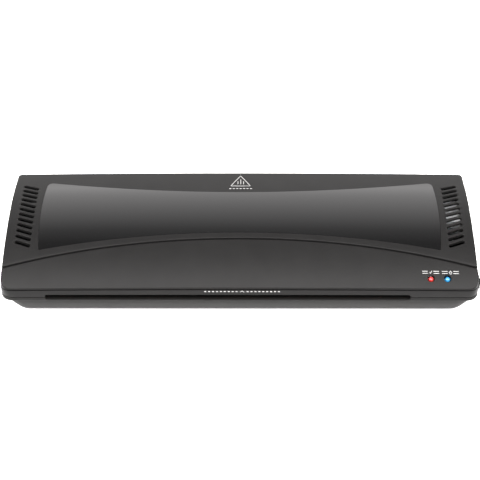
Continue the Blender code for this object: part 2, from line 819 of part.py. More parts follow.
def control_board():
    """The board under the exit guide, with its larger components."""
    x, y, z = BOARD
    half_x, half_y = BOARD_HALF
    thick = 1.6 * MM
    board = block(
        "control_board", (x - half_x, y - half_y, z), (x + half_x, y + half_y, z + thick), board_green()
    )
    sizes = {  # offset along X, half length, half width, height
        "transformer": (-26, 9, 8, 12),
        "relay": (-6, 7, 5, 10),
        "controller": (14, 8, 4, 1.6),
        "connector": (32, 5, 6, 7),
    }
    for name, (offset, half, wide, tall) in sizes.items():
        middle = x + offset * MM
        join(
            board,
            block(
                name,
                (middle - half * MM, y - wide * MM, z + 0.75 * thick),
                (middle + half * MM, y + wide * MM, z + thick + tall * MM),
            ),
        )
    join(board, cylinder("capacitor", (x + 24 * MM, y, z + 6 * MM), 2.0 * MM, 10 * MM, sides=12))
    for i, offset in enumerate((-38, 38)):
        leg_z = (FLOOR_Z + WALL + GAP + z) / 2
        join(
            board,
            cylinder(
                f"board_standoff_{i}",
                (x + offset * MM, y, leg_z + 0.2 * MM),
                2 * MM,
                z - FLOOR_Z - WALL - GAP,
                sides=12,
            ),
        )


def wire(name, points, radius, mat):
    """A lead laid along straight runs with short diagonal turns."""
    curve = bpy.data.curves.new(name, "CURVE")
    curve.dimensions = "3D"
    curve.bevel_depth = radius
    curve.bevel_resolution = 2
    curve.use_fill_caps = True
    spline = curve.splines.new("POLY")
    spline.points.add(len(points) - 1)
    for point, place in zip(spline.points, points):
        point.co = (*(value * MM for value in place), 1)
    helper = bpy.data.objects.new(name, curve)
    bpy.context.scene.collection.objects.link(helper)
    return shade_smooth(put(mesh_of(helper), mat))


def mains_lead():
    """The lead from the inlet's tags along the right wall to the switch."""
    route = [
        (134.3, 41.4, 12.2),
        (140.0, 43.0, 9.4),
        (150.0, 46.0, 7.4),
        (172.0, 46.0, 7.4),
        (186.0, 43.0, 8.0),
        (192.0, 36.0, 10.0),
        (195.0, 24.0, 12.0),
        (195.0, -14.0, 12.0),
        (196.5, -28.0, 17.0),
        (199.4, -36.0, 24.0),
        (199.9, -40.0, 28.0),
        (199.9, -43.4, 29.3),
    ]
    wire("mains_lead", route, 1.6 * MM, black_rubber())


# ---------------------------------------------------------------- frame


def lower_z():
    return NIP_Z - AXLE_HALF_SPACING


def upper_z():
    return NIP_Z + AXLE_HALF_SPACING


def side_plate(name, x, inward):
    """A pressed side plate with bush holes, bearing windows, spring seats and a foot."""
    outline = rounded_corners(
        [
            (-44 * MM, 5.4 * MM),
            (42 * MM, 5.4 * MM),
            (42 * MM, 60 * MM),
            (10 * MM, 60 * MM),
            (-20 * MM, 55.5 * MM),
            (-38.5 * MM, 49.6 * MM),
            (-44 * MM, 44.5 * MM),
        ],
        [2 * MM] * 7,
        2,
    )
    holes = [circle((y, lower_z()), 6.8 * MM) for y in (FRONT_ROLLER_Y, REAR_ROLLER_Y)]
    plate = flat(name, [outline, *holes], "X", (x, 0, 0), PLATE, steel())
    for end, y in (("front", FRONT_ROLLER_Y), ("rear", REAR_ROLLER_Y)):
        window = block(
            f"{name}_window_{end}",
            (x - PLATE, y - WINDOW_HALF_Y, BLOCK_LOW_Z - 1 * MM),
            (x + PLATE, y + WINDOW_HALF_Y, WINDOW_HIGH_Z),
        )
        cut(plate, window)
        seat = block(
            f"{name}_seat_{end}",
            (x - BLOCK_HALF_X, y - 4 * MM, WINDOW_HIGH_Z + 0.1 * MM),
            (x + BLOCK_HALF_X, y + 4 * MM, WINDOW_HIGH_Z + 1.2 * MM),
        )
        join(plate, seat)
    low_x, high_x = sorted((x + inward * 0.5 * MM, x + inward * 9 * MM))
    join(plate, block(f"{name}_foot", (low_x, -10 * MM, 5.6 * MM), (high_x, 4 * MM, 7.2 * MM)))
    return plate


def frame_plates():
    side_plate("left_side_plate", LEFT_PLATE_X, 1)
    right = side_plate("right_side_plate", RIGHT_PLATE_X, 1)
    start, end = RIGHT_PLATE_X, IDLER_X[1] + 1.4 * MM
    middle = ((start + end) / 2, IDLER_Y, idler_z())
    join(right, cylinder("idler_stub", middle, 3.0 * MM, end - start, (1, 0, 0)))


def tie_rod():
    low, high = LEFT_PLATE_X + PLATE / 2 + GAP, RIGHT_PLATE_X - PLATE / 2 - GAP
    y, z, radius = TIE_ROD
    cylinder("frame_tie_rod", ((low + high) / 2, y, z), radius, high - low, (1, 0, 0), steel())


def guide(name, points, mat):
    """A moulded ledge under the pouch's path, between the side plates."""
    thickness = 1.5 * MM
    upper = [(y * MM, z * MM) for y, z in points]
    lower = [(y, z - thickness) for y, z in reversed(upper)]
    low, high = LEFT_PLATE_X + PLATE / 2 + 5 * MM, RIGHT_PLATE_X - PLATE / 2 - 5 * MM
    return flat(name, [upper + lower], "X", ((low + high) / 2, 0, 0), high - low, mat)


def guides():
    guide("feed_guide", [(-56.0, 22.4), (-50.0, 23.4), (-41.0, 27.0)], charcoal())
    guide("exit_guide", [(32.0, 27.0), (38.0, 26.6), (58.0, 26.2), (60.5, 25.2)], charcoal())


def bearing_blocks():
    """Sliding blocks for the upper shafts, grooved to run on the edges of the side plates' windows."""
    half_z = (BLOCK_HIGH_Z - BLOCK_LOW_Z) / 2
    for end, y in (("front", FRONT_ROLLER_Y), ("rear", REAR_ROLLER_Y)):
        for side, x in (("left", LEFT_PLATE_X), ("right", RIGHT_PLATE_X)):
            name = f"{end}_bearing_block_{side}"
            outline = rectangle((-BLOCK_HALF_Y, -half_z), (BLOCK_HALF_Y, half_z))
            middle = (x, y, (BLOCK_LOW_Z + BLOCK_HIGH_Z) / 2)
            bore = circle((0, upper_z() - middle[2]), BORE_RADIUS, ROUND)
            piece = flat(name, [outline, bore], "X", middle, 2 * BLOCK_HALF_X, acetal())
            for flank in (-1, 1):
                edge = sorted((flank * (WINDOW_HALF_Y - GAP), flank * (BLOCK_HALF_Y + MM)))
                cut(
                    piece,
                    block(
                        f"{name}_groove_{flank}",
                        (x - PLATE / 2 - GAP, y + edge[0], BLOCK_LOW_Z - MM),
                        (x + PLATE / 2 + GAP, y + edge[1], BLOCK_HIGH_Z + MM),
                    ),
                )


def bushes():
    """Flanged bushes for the lower shafts, with the flange inside the plate."""
    half = PLATE / 2
    profile = [
        (8.2 * MM, half + GAP + 2 * MM),
        (8.2 * MM, half + GAP),
        (6.5 * MM, half + GAP),
        (6.5 * MM, -half - 0.6 * MM),
        (BORE_RADIUS, -half - 0.6 * MM),
        (BORE_RADIUS, half + GAP + 2 * MM),
    ]
    for end, y in (("front", FRONT_ROLLER_Y), ("rear", REAR_ROLLER_Y)):
        for side, x, inward in (("left", LEFT_PLATE_X, 1), ("right", RIGHT_PLATE_X, -1)):
            name = f"{end}_bush_{side}"
            turned(name, profile, (x, y, lower_z()), (inward, 0, 0), acetal(), ring=True)


def springs():
    """Coil springs that press the bearing blocks down."""
    low, high = BLOCK_HIGH_Z + GAP, WINDOW_HIGH_Z - GAP
    wire_radius, coil_radius, turns, steps = 0.4 * MM, 2.6 * MM, 2.25, 9
    rise = high - low - 2 * wire_radius
    points = []
    for i in range(int(turns * steps) + 1):
        angle = 2 * math.pi * i / steps
        height = low + wire_radius + rise * i / (turns * steps)
        points.append((coil_radius * math.cos(angle) / MM, coil_radius * math.sin(angle) / MM, height / MM))
    for end, y in (("front", FRONT_ROLLER_Y), ("rear", REAR_ROLLER_Y)):
        for side, x in (("left", LEFT_PLATE_X), ("right", RIGHT_PLATE_X)):
            spring = wire(f"{end}_spring_{side}", points, wire_radius, bright_steel())
            spring.location = (x, y, 0)


# ---------------------------------------------------------------- rollers and gears


def gear_outline(teeth, phase):
    """Involute gear outline with a tooth centred at phase, thinned by the backlash."""
    pitch_radius = MODULE * teeth / 2
    base_radius = pitch_radius * math.cos(PRESSURE_ANGLE)
    half_tooth = math.pi / (2 * teeth) - BACKLASH / (2 * pitch_radius)
    pitch_roll = math.tan(PRESSURE_ANGLE) - PRESSURE_ANGLE

    def half_angle(radius):
        ratio = min(base_radius / radius, 1.0)
        slope = math.acos(ratio)
        return half_tooth + pitch_roll - (math.tan(slope) - slope)

    flank = [pitch_radius - DEDENDUM, pitch_radius, pitch_radius + ADDENDUM]
    outline = []
    for tooth in range(teeth):
        middle = phase + 2 * math.pi * tooth / teeth
        sides = [(radius, -half_angle(radius)) for radius in flank]
        sides += [(radius, half_angle(radius)) for radius in reversed(flank)]
        outline += [(r * math.cos(middle + a), r * math.sin(middle + a)) for r, a in sides]
    return outline


def meshed_phase(teeth, driver_teeth, driver_phase, direction):
    """Phase of a gear that meshes with a driver lying opposite direction."""
    return direction + math.pi + (math.pi - driver_teeth * (driver_phase - direction)) / teeth


def idler_z():
    reach = MODULE * (ROLLER_TEETH + IDLER_TEETH) / 2
    return lower_z() + math.sqrt(reach**2 - (IDLER_Y - FRONT_ROLLER_Y) ** 2)


def pinion_z():
    reach = MODULE * (IDLER_TEETH + PINION_TEETH) / 2
    return idler_z() + math.sqrt(reach**2 - (PINION_Y - IDLER_Y) ** 2)


def spur_gear(name, teeth, phase, place, span, bore, mat):
    middle = (sum(span) / 2, *place)
    outlines = [gear_outline(teeth, phase), circle((0, 0), bore, 16)]
    return flat(name, outlines, "X", middle, span[1] - span[0], mat)


def gear_train():
    """The geared right-hand ends of the rollers, the idler between them and the motor's pinion."""
    up = math.pi / 2
    rise = math.atan2(idler_z() - lower_z(), IDLER_Y - FRONT_ROLLER_Y)
    to_pinion = math.atan2(pinion_z() - idler_z(), PINION_Y - IDLER_Y)
    front_lower = 0.0
    front_upper = meshed_phase(ROLLER_TEETH, ROLLER_TEETH, front_lower, up)
    idler = meshed_phase(IDLER_TEETH, ROLLER_TEETH, front_lower, rise)
    rear_lower = meshed_phase(ROLLER_TEETH, IDLER_TEETH, idler, -rise)
    rear_upper = meshed_phase(ROLLER_TEETH, ROLLER_TEETH, rear_lower, up)
    pinion = meshed_phase(PINION_TEETH, IDLER_TEETH, idler, to_pinion)
    bore = SHAFT_RADIUS + GAP
    for name, phase, y, z, span in (
        ("front_lower_gear", front_lower, FRONT_ROLLER_Y, lower_z(), LOWER_GEAR_X),
        ("front_upper_gear", front_upper, FRONT_ROLLER_Y, upper_z(), UPPER_GEAR_X),
        ("rear_lower_gear", rear_lower, REAR_ROLLER_Y, lower_z(), LOWER_GEAR_X),
        ("rear_upper_gear", rear_upper, REAR_ROLLER_Y, upper_z(), UPPER_GEAR_X),
    ):
        spur_gear(name, ROLLER_TEETH, phase, (y, z), span, bore, acetal())
    spur_gear("idler_gear", IDLER_TEETH, idler, (IDLER_Y, idler_z()), IDLER_X, 3.08 * MM, acetal())
    drive = spur_gear(
        "motor_pinion", PINION_TEETH, pinion, (PINION_Y, pinion_z()), IDLER_X, 1.0 * MM, bright_steel()
    )
    shaft_start, shaft_end = IDLER_X[0], MOTOR_X[0] + 3 * MM
    middle = ((shaft_start + shaft_end) / 2, PINION_Y, pinion_z())
    join(drive, cylinder("motor_shaft", middle, 2.0 * MM, shaft_end - shaft_start, (1, 0, 0)))


def rollers():
    """Rubber-covered rollers on steel shafts, an upper and a lower one at each nip."""
    centre_x = SLOT_MIDDLE_X
    for end, y in (("front", FRONT_ROLLER_Y), ("rear", REAR_ROLLER_Y)):
        for level, z, right in (("lower", lower_z(), 185.0 * MM), ("upper", upper_z(), 176.8 * MM)):
            chamfer = 0.6 * MM
            bore = SHAFT_RADIUS + GAP
            sleeve = [
                (ROLLER_RADIUS, ROLLER_HALF),
                (ROLLER_RADIUS, -ROLLER_HALF),
                (bore, -ROLLER_HALF),
                (bore, ROLLER_HALF),
            ]
            turned(f"{end}_{level}_roller", sleeve, (centre_x, y, z), (1, 0, 0), rubber(), ring=True)
            shaft = [
                (0, right - centre_x),
                (SHAFT_RADIUS - chamfer, right - centre_x),
                (SHAFT_RADIUS, right - centre_x - chamfer),
                (SHAFT_RADIUS, SHAFT_LEFT_X - centre_x + chamfer),
                (SHAFT_RADIUS - chamfer, SHAFT_LEFT_X - centre_x),
                (0, SHAFT_LEFT_X - centre_x),
            ]
            turned(f"{end}_{level}_shaft", shaft, (centre_x, y, z), (1, 0, 0), bright_steel())


def motor():
    """The synchronous gearmotor and the bracket that stands it off the right side plate."""
    y, z = PINION_Y, pinion_z()
    low, high = MOTOR_X
    radius = MOTOR_RADIUS
    start = BRACKET_X[1] + GAP
    body = [
        (radius - 1.5 * MM, high - low),
        (radius, high - low - 1.5 * MM),
        (radius, 0.8 * MM),
        (radius - 0.8 * MM, 0),
        (5.0 * MM, 0),
        (5.0 * MM, start - low),
        (2.5 * MM, start - low),
        (2.5 * MM, 5 * MM),
        (0, 5 * MM),
    ]
    profile = [(0, high - low), *body]
    turned("motor_body", profile, (low, y, z), (1, 0, 0), steel())
    outline = rounded_corners(
        [(2 * MM, 28 * MM), (44 * MM, 28 * MM), (44 * MM, 62 * MM), (2 * MM, 60 * MM)], [4 * MM] * 4, 3
    )
    hole = circle((y, z), 4.0 * MM)
    middle = (sum(BRACKET_X) / 2, 0, 0)
    bracket = flat("motor_bracket", [outline, hole], "X", middle, BRACKET_X[1] - BRACKET_X[0], steel())
    inner = RIGHT_PLATE_X + PLATE / 2 + GAP
    leg = block("bracket_leg", (inner, 41.8 * MM, 33 * MM), (BRACKET_X[1] - 0.4 * MM, 43.4 * MM, 57 * MM))
    tab = block("bracket_tab", (inner, 34 * MM, 34 * MM), (inner + 1.6 * MM, 43.0 * MM, 56 * MM))
    join(bracket, leg, tab)


# ---------------------------------------------------------------- heating


def heating():
    """Two aluminium plates that face each other across the pouch's path, with their elements."""
    low_x, high_x = LEFT_PLATE_X + PLATE / 2 + GAP, RIGHT_PLATE_X - PLATE / 2 - GAP
    front, rear = HEATER_Y
    half_gap, thick = HEATER_HALF_GAP, HEATER_THICKNESS
    strip_low, strip_high = low_x + 20 * MM, high_x - 20 * MM
    middle_x = (low_x + high_x) / 2
    for word, side in (("lower", -1), ("upper", 1)):
        near, far = NIP_Z + side * half_gap, NIP_Z + side * (half_gap + thick)
        lead_in = 1.0 * MM
        outline = [
            (front, near + side * lead_in),
            (front + 2.5 * lead_in, near),
            (rear - lead_in, near),
            (rear, near + side * lead_in),
            (rear, far),
            (front, far),
        ]
        flat(f"{word}_heating_plate", [outline], "X", (middle_x, 0, 0), high_x - low_x, aluminium())
        z = sorted((far + side * GAP, far + side * (GAP + ELEMENT_THICKNESS)))
        block(
            f"{word}_heating_element",
            (strip_low, ELEMENT_Y[0], z[0]),
            (strip_high, ELEMENT_Y[1], z[1]),
            material("mica_strip", (0.62, 0.5, 0.36), 0.6),
        )


def temperature_guards():
    """The thermostat and the one-shot thermal fuse on the upper element."""
    top = NIP_Z + HEATER_HALF_GAP + HEATER_THICKNESS + ELEMENT_THICKNESS + 2 * GAP
    cap = [
        (0, 7.0 * MM),
        (6.6 * MM, 7.0 * MM),
        (7.2 * MM, 6.2 * MM),
        (7.2 * MM, 1.4 * MM),
        (8.0 * MM, 1.4 * MM),
        (8.0 * MM, 0),
        (0, 0),
    ]
    stat = turned(
        "thermostat",
        cap,
        (THERMOSTAT_X, GUARD_Y, top),
        (0, 0, 1),
        material("phenolic", (0.05, 0.03, 0.02), 0.4),
    )
    for i in (-1, 1):
        x = THERMOSTAT_X + i * 4.2 * MM
        join(
            stat,
            block(
                f"thermostat_tag_{i}",
                (x - 0.4 * MM, GUARD_Y - 2 * MM, top + 6.5 * MM),
                (x + 0.4 * MM, GUARD_Y + 2 * MM, top + 12 * MM),
            ),
        )
    fuse = [
        (0, 26 * MM),
        (0.5 * MM, 26 * MM),
        (0.5 * MM, 8 * MM),
        (1.9 * MM, 6 * MM),
        (1.9 * MM, -6 * MM),
        (0.5 * MM, -8 * MM),
        (0.5 * MM, -26 * MM),
        (0, -26 * MM),
    ]
    turned("thermal_fuse", fuse, (FUSE_X, GUARD_Y, top + 1.9 * MM), (1, 0, 0), bright_steel(), sides=16)


# ---------------------------------------------------------------- assembly


def build():
    clear_scene()
    lower_housing()
    bezel_ring()
    top_cover()
    front_panel()
    gloss_panel()
    case_screws()
    feet()
    lamps()
    power_switch()
    mains_inlet()
    control_board()
    mains_lead()
    frame_plates()
    tie_rod()
    guides()
    bearing_blocks()
    bushes()
    springs()
    rollers()
    gear_train()
    motor()
    heating()
    temperature_guards()


build()
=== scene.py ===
import json
import math

import bmesh
import bpy
from mathutils import Matrix, Vector


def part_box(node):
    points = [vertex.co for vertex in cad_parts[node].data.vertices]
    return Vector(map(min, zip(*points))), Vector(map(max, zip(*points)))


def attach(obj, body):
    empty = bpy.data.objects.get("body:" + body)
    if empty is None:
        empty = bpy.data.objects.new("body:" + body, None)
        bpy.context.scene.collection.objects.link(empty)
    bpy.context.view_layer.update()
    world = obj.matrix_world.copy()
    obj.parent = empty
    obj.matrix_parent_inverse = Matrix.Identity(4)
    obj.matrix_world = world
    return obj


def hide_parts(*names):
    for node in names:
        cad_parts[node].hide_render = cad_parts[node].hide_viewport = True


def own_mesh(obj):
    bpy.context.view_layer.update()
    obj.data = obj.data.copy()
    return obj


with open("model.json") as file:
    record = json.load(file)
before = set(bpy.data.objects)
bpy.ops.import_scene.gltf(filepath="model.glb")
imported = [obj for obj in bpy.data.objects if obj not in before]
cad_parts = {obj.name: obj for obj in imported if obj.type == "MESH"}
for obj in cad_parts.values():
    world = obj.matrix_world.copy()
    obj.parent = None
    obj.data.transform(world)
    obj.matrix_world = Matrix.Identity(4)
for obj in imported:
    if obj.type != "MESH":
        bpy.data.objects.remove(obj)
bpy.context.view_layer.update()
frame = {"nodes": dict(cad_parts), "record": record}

# The looks of a wide desktop pouch laminator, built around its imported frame. Lengths are in
# millimetres until a mesh is made. Shapes of the casing are worked out flat, as if the top were not
# crowned from side to side, and crowned() then bends every point the way the CAD shells are bent.

MM = 0.001


def corner(node, high):
    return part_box(node)[1 if high else 0] / MM


# Casing, from the CAD shells
HALF_WIDTH = corner("lower_housing", True).x
TOP_HALF_WIDTH = -corner("top_cover", False).x
FRONT_Y = corner("bezel_ring", False).y
REAR_Y = corner("bezel_ring", True).y
HEIGHT = corner("top_cover", True).z
LIP_Z = corner("bezel_ring", True).z + 0.3  # CAD height of the joint between top shells and ring
SPLIT_Z = corner("bezel_ring", False).z - 0.15
FLOOR_Z = corner("lower_housing", False).z
RIM_Z = SPLIT_Z - 4.0
WALL = 2.2
TOP_RADIUS = 200.0
APEX_Y = 50.0
REAR_FILLET = 7.0
REAR_FILLET_Y = 56.5
REAR_WALL_ANGLE = math.radians(80.0)
LIP_CROWN = 1.5
TOP_CROWN = 1.8
SIDE_LEAN = 2.0
TOP_LIP_Z = LIP_Z - 0.9  # underside of the top shells
RING_TOP_Z = TOP_LIP_Z - 1.5

# Edges and seams
EDGE = 1.0  # rounding of the top shells at the lip and the sides
REAR_EDGE = 3.2  # the same, where the top meets the sides at the rear
REAR_CORNER = 6.0
SEAM_EDGE = 0.5
SEAM_Y = -26.5
SEAM_BOW = 24.8
SEAM_HALF = 215.0
SEAM_GAP = 1.7
FRONT_CORNER = 9.5

# Gloss insert and vents
GLOSS_HALF = 185.2
GLOSS_SIDE_BOW = 2.4
GLOSS_TOP_Y = 28.0
GLOSS_TOP_BOW = 15.4
GLOSS_BOTTOM_Y = -20.2
GLOSS_BOTTOM_BOW = -16.3
GLOSS_TOP_CORNER = 5.0
GLOSS_BOTTOM_CORNER = 1.2
INSERT_THICKNESS = 1.1
RECESS_DEPTH = 1.35
RECESS_CLEARANCE = 0.2
PLAIN_WALL = ((-0.3, 0.0), (6.0, 0.0))  # levels of a wall with no rounding, from above the surface
VENTS = 12
VENT_INNER_X = 194.9
VENT_OUTER_X = 206.7
VENT_FIRST_Y = -30.5
VENT_PITCH = 6.03
VENT_SLANT = 3.8
VENT_HALF = 1.75

# Base below the rim
BASE_HALF_WIDTH = HALF_WIDTH - 13.0
BASE_FRONT_Y = FRONT_Y + 10.0
BASE_REAR_Y = REAR_Y - 4.0
FLANGE = 1.4
PARTING = 0.32  # half the gap between the tray and the ring
SIDE_FLARE = 1.62  # flare of the sides over that of the front
BASE_FLARE = (  # (out, height)
    (1.2, 5.0),
    (2.8, 8.0),
    (4.8, 12.0),
    (6.2, 16.0),
    (6.9, RIM_Z - 1.0),
    (7.2, RIM_Z),
)

# Slots
SLOT_MIDDLE_X = -10.5
SLOT_HALF = 166.2
FEED_SLOT = (21.6, 27.2)
EXIT_SLOT = (25.6, 31.4)
SLOT_CORNER = 1.4

LAMP_Y = -61.0
INK = 0.04  # thickness of print above and below the surface
FINE_LINE = 0.2  # half-width of the thinnest printed lines
POST_X = 196.0
SCREW_HOLE = 1.8  # radius
POST_YS = (-49.0, 54.0)


# ---------------------------------------------------------------- mesh helpers


def build(name, points, faces, smooth=35.0):
    """A closed mesh object from points in millimetres, with coinciding points merged."""
    mesh = bpy.data.meshes.new(name)
    mesh.from_pydata([Vector(p) * MM for p in points], [], faces)
    form = bmesh.new()
    form.from_mesh(mesh)
    bmesh.ops.remove_doubles(form, verts=form.verts, dist=2e-6)
    bmesh.ops.dissolve_degenerate(form, edges=form.edges, dist=1e-6)
    bmesh.ops.recalc_face_normals(form, faces=form.faces)
    form.to_mesh(mesh)
    form.free()
    obj = bpy.data.objects.new(name, mesh)
    bpy.context.scene.collection.objects.link(obj)
    mesh.shade_smooth()
    mesh.set_sharp_from_angle(angle=math.radians(smooth))
    return obj


def loft(name, rings, closed=False, smooth=35.0):
    """Skin through rings of equal length, capped with flat ends, or closed from the last to the first."""
    size = len(rings[0])
    points = [p for ring in rings for p in ring]
    faces = []
    for i in range(len(rings) if closed else len(rings) - 1):
        a, b = i * size, (i + 1) % len(rings) * size
        faces += [(a + j, a + (j + 1) % size, b + (j + 1) % size, b + j) for j in range(size)]
    if not closed:
        faces += [tuple(range(size)), tuple(range(len(points) - size, len(points)))]
    return build(name, points, faces, smooth)


def bake(obj, smooth=35.0):
    """Applies the object's modifiers to its mesh."""
    bpy.context.view_layer.update()
    graph = bpy.context.evaluated_depsgraph_get()
    mesh = bpy.data.meshes.new_from_object(obj.evaluated_get(graph))
    obj.modifiers.clear()
    obj.data = mesh
    mesh.shade_smooth()
    mesh.set_sharp_from_angle(angle=math.radians(smooth))
    return obj


def combine(piece, tools, operation):
    for tool in tools:
        step = piece.modifiers.new(tool.name, "BOOLEAN")
        step.operation = operation
        step.object = tool
    bake(piece)
    for tool in tools:
        bpy.data.objects.remove(tool, do_unlink=True)
    return piece


def cut(piece, *tools):
    return combine(piece, tools, "DIFFERENCE")


def join(piece, *tools):
    return combine(piece, tools, "UNION")


def trim(piece, *tools):
    return combine(piece, tools, "INTERSECT")


def merged(name, pieces):
    """Separate closed forms held in one object, for use as one tool."""
    form = bmesh.new()
    for piece in pieces:
        form.from_mesh(piece.data)
        bpy.data.objects.remove(piece, do_unlink=True)
    mesh = bpy.data.meshes.new(name)
    form.to_mesh(mesh)
    form.free()
    obj = bpy.data.objects.new(name, mesh)
    bpy.context.scene.collection.objects.link(obj)
    return obj


def arc(centre, radius, start, end, steps):
    """Points of an arc, angles in degrees counter-clockwise from the first axis."""
    angles = [math.radians(start + (end - start) * i / steps) for i in range(steps + 1)]
    return [(centre[0] + radius * math.cos(a), centre[1] + radius * math.sin(a)) for a in angles]


def ramp(value, low, high):
    """0 below low, 1 above high and smooth between."""
    t = min(max((value - low) / (high - low), 0.0), 1.0)
    return t * t * (3 - 2 * t)


# ---------------------------------------------------------------- the casing's surface


def crowned(point):
    """Where a flat-drawn point of the casing lies on the crowned one."""
    x, y, z = point
    lip = min(max((z - SPLIT_Z) / (LIP_Z - SPLIT_Z), 0.0), 1.0)
    top = max((z - LIP_Z) / (HEIGHT - LIP_Z), 0.0)
    drop = LIP_CROWN * lip + (TOP_CROWN - LIP_CROWN) * top
    return Vector((x * (1 - SIDE_LEAN / TOP_HALF_WIDTH * top), y, z - drop * (x / TOP_HALF_WIDTH) ** 2))


def top_height(y, depth=0.0):
    return HEIGHT - TOP_RADIUS + math.sqrt((TOP_RADIUS - depth) ** 2 - (y - APEX_Y) ** 2)


def top_normal(y):
    """The top's outward direction at y, in (y, z)."""
    lean = math.asin((APEX_Y - y) / TOP_RADIUS)
    return Vector((-math.sin(lean), math.cos(lean)))


def seam_y(x):
    return SEAM_Y - SEAM_BOW * (x / SEAM_HALF) ** 2


def seam_normal(x):
    """Direction across the seam towards the rear, in plan."""
    return Vector((2 * SEAM_BOW * x / SEAM_HALF**2, 1.0)).normalized()


def shares(across):
    """Column places from -1 to 1, with one extra column the wall's thickness in from each side."""
    inner = (TOP_HALF_WIDTH - WALL) / (TOP_HALF_WIDTH - EDGE)
    return [-1.0] + [inner * (2 * i / across - 1) for i in range(across + 1)] + [1.0]


def double_sheet(name, outer, rings, inner):
    """A thin shell: an outer grid, rings of points that turn its edge over, and an inner grid.

    A grid is a list of rows. Each ring, and the edge of each grid, runs once round from the first
    point of the first row.
    """
    rows, columns = len(outer), len(outer[0])
    points = [p for row in outer for p in row] + [p for ring in rings for p in ring]
    points += [p for row in inner for p in row]

    def edge(base):
        first = [base + i for i in range(columns)]
        right = [base + j * columns + columns - 1 for j in range(1, rows)]
        last = [base + (rows - 1) * columns + i for i in range(columns - 2, -1, -1)]
        left = [base + j * columns for j in range(rows - 2, 0, -1)]
        return first + right + last + left

    faces = []
    inner_base = len(points) - rows * columns
    for base in (0, inner_base):
        for j in range(rows - 1):
            for i in range(columns - 1):
                a = base + j * columns + i
                faces.append((a, a + 1, a + columns + 1, a + columns))
    loops = [edge(0)]
    size = len(loops[0])
    for k in range(len(rings)):
        start = rows * columns + k * size
        loops.append(list(range(start, start + size)))
    loops.append(edge(inner_base))
    for a, b in zip(loops, loops[1:]):
        faces += [(a[j], a[(j + 1) % size], b[(j + 1) % size], b[j]) for j in range(size)]
    return build(name, [crowned(p) for p in points], faces)


def round_loop(rows, columns):
    """Row and column of each edge point, in the order that double_sheet goes round."""
    first = [(0, i) for i in range(columns)]
    right = [(j, columns - 1) for j in range(1, rows)]
    last = [(rows - 1, i) for i in range(columns - 2, -1, -1)]
    left = [(j, 0) for j in range(rows - 2, 0, -1)]
    return first + right + last + left


ROUNDING = [math.radians(a) for a in (15, 30, 45, 60, 75, 90)]


def front_panel_shell():
    """The front shell of the top, from the lip to the seam."""
    across = shares(110)
    centre = (TOP_HALF_WIDTH - FRONT_CORNER, FRONT_Y + FRONT_CORNER)
    seam_end = seam_y(TOP_HALF_WIDTH) - SEAM_GAP / 2
    turn = [math.radians(90 * i / 12) for i in range(13)]
    rise = [i / 12 for i in range(1, 13)]
    # Each row's end: a point of the wall's plan and its outward direction
    ends = [
        (
            Vector((centre[0] + FRONT_CORNER * math.sin(t), centre[1] - FRONT_CORNER * math.cos(t))),
            Vector((math.sin(t), -math.cos(t))),
        )
        for t in turn
    ]
    ends += [
        (Vector((TOP_HALF_WIDTH, centre[1] + (seam_end - centre[1]) * v)), Vector((1.0, 0.0))) for v in rise
    ]

    def sheet(inset, depth, seam_inset):
        low = FRONT_Y + inset
        rows = []
        high_end = seam_end - seam_inset
        for wall, out in ends:
            end = wall - out * inset
            share = (end.y - low) / (ends[-1][0].y - low)
            row = []
            for u in across:
                x = u * end.x
                if inset > EDGE:
                    wide = u * (end.x + inset - EDGE)
                    x = math.copysign(end.x, u) if abs(u) == 1.0 else min(max(wide, -end.x), end.x)
                line = seam_y(u * (TOP_HALF_WIDTH - EDGE)) - SEAM_GAP / 2 - seam_inset
                if abs(u) == 1.0:
                    line = high_end
                y = low + (line - low) * share
                z = top_height(y, depth)
                row.append((x, y, max(z, TOP_LIP_Z + 0.2)))
            rows.append(row)
        return rows

    outer = sheet(EDGE, 0.0, SEAM_EDGE)
    inner = sheet(WALL, WALL, 0.0)
    rows, columns = len(outer), len(across)
    loop = round_loop(rows, columns)

    def outward(j, i):
        """The wall's and the seam's outward directions at an edge point."""
        side = Vector((0.0, 0.0))
        if i in (0, columns - 1):
            side = ends[j][1].copy()
            if i == 0:
                side.x = -side.x
        elif j == 0:
            side = Vector((0.0, -1.0))
        seam = seam_normal(outer[j][i][0]) if j == rows - 1 else Vector((0.0, 0.0))
        return side, seam

    rings = []
    for t in ROUNDING:
        ring = []
        for j, i in loop:
            x, y, _ = outer[j][i]
            side, seam = outward(j, i)
            spot = Vector((x, y)) + (side * EDGE + seam * SEAM_EDGE) * math.sin(t)
            radius = EDGE if side.length else SEAM_EDGE
            ring.append((spot.x, spot.y, top_height(spot.y) - radius * (1 - math.cos(t))))
        rings.append(ring)
    low_outer, low_inner = [], []
    for (j, i), (x, y, _) in zip(loop, rings[-1]):
        side, seam = outward(j, i)
        if side.length:
            low_outer.append((x, y, TOP_LIP_Z))
            low_inner.append((x - side.x * WALL, y - side.y * WALL, TOP_LIP_Z))
            if seam.length:
                inner[j][i] = (x - side.x * WALL, y, top_height(y, WALL))
        else:
            low_outer.append((x, y, top_height(y, WALL)))
            low_inner.append(low_outer[-1])
            inner[j][i] = low_outer[-1]
    rings += [low_outer, low_inner]
    return double_sheet("top_front_shell", outer, rings, inner)


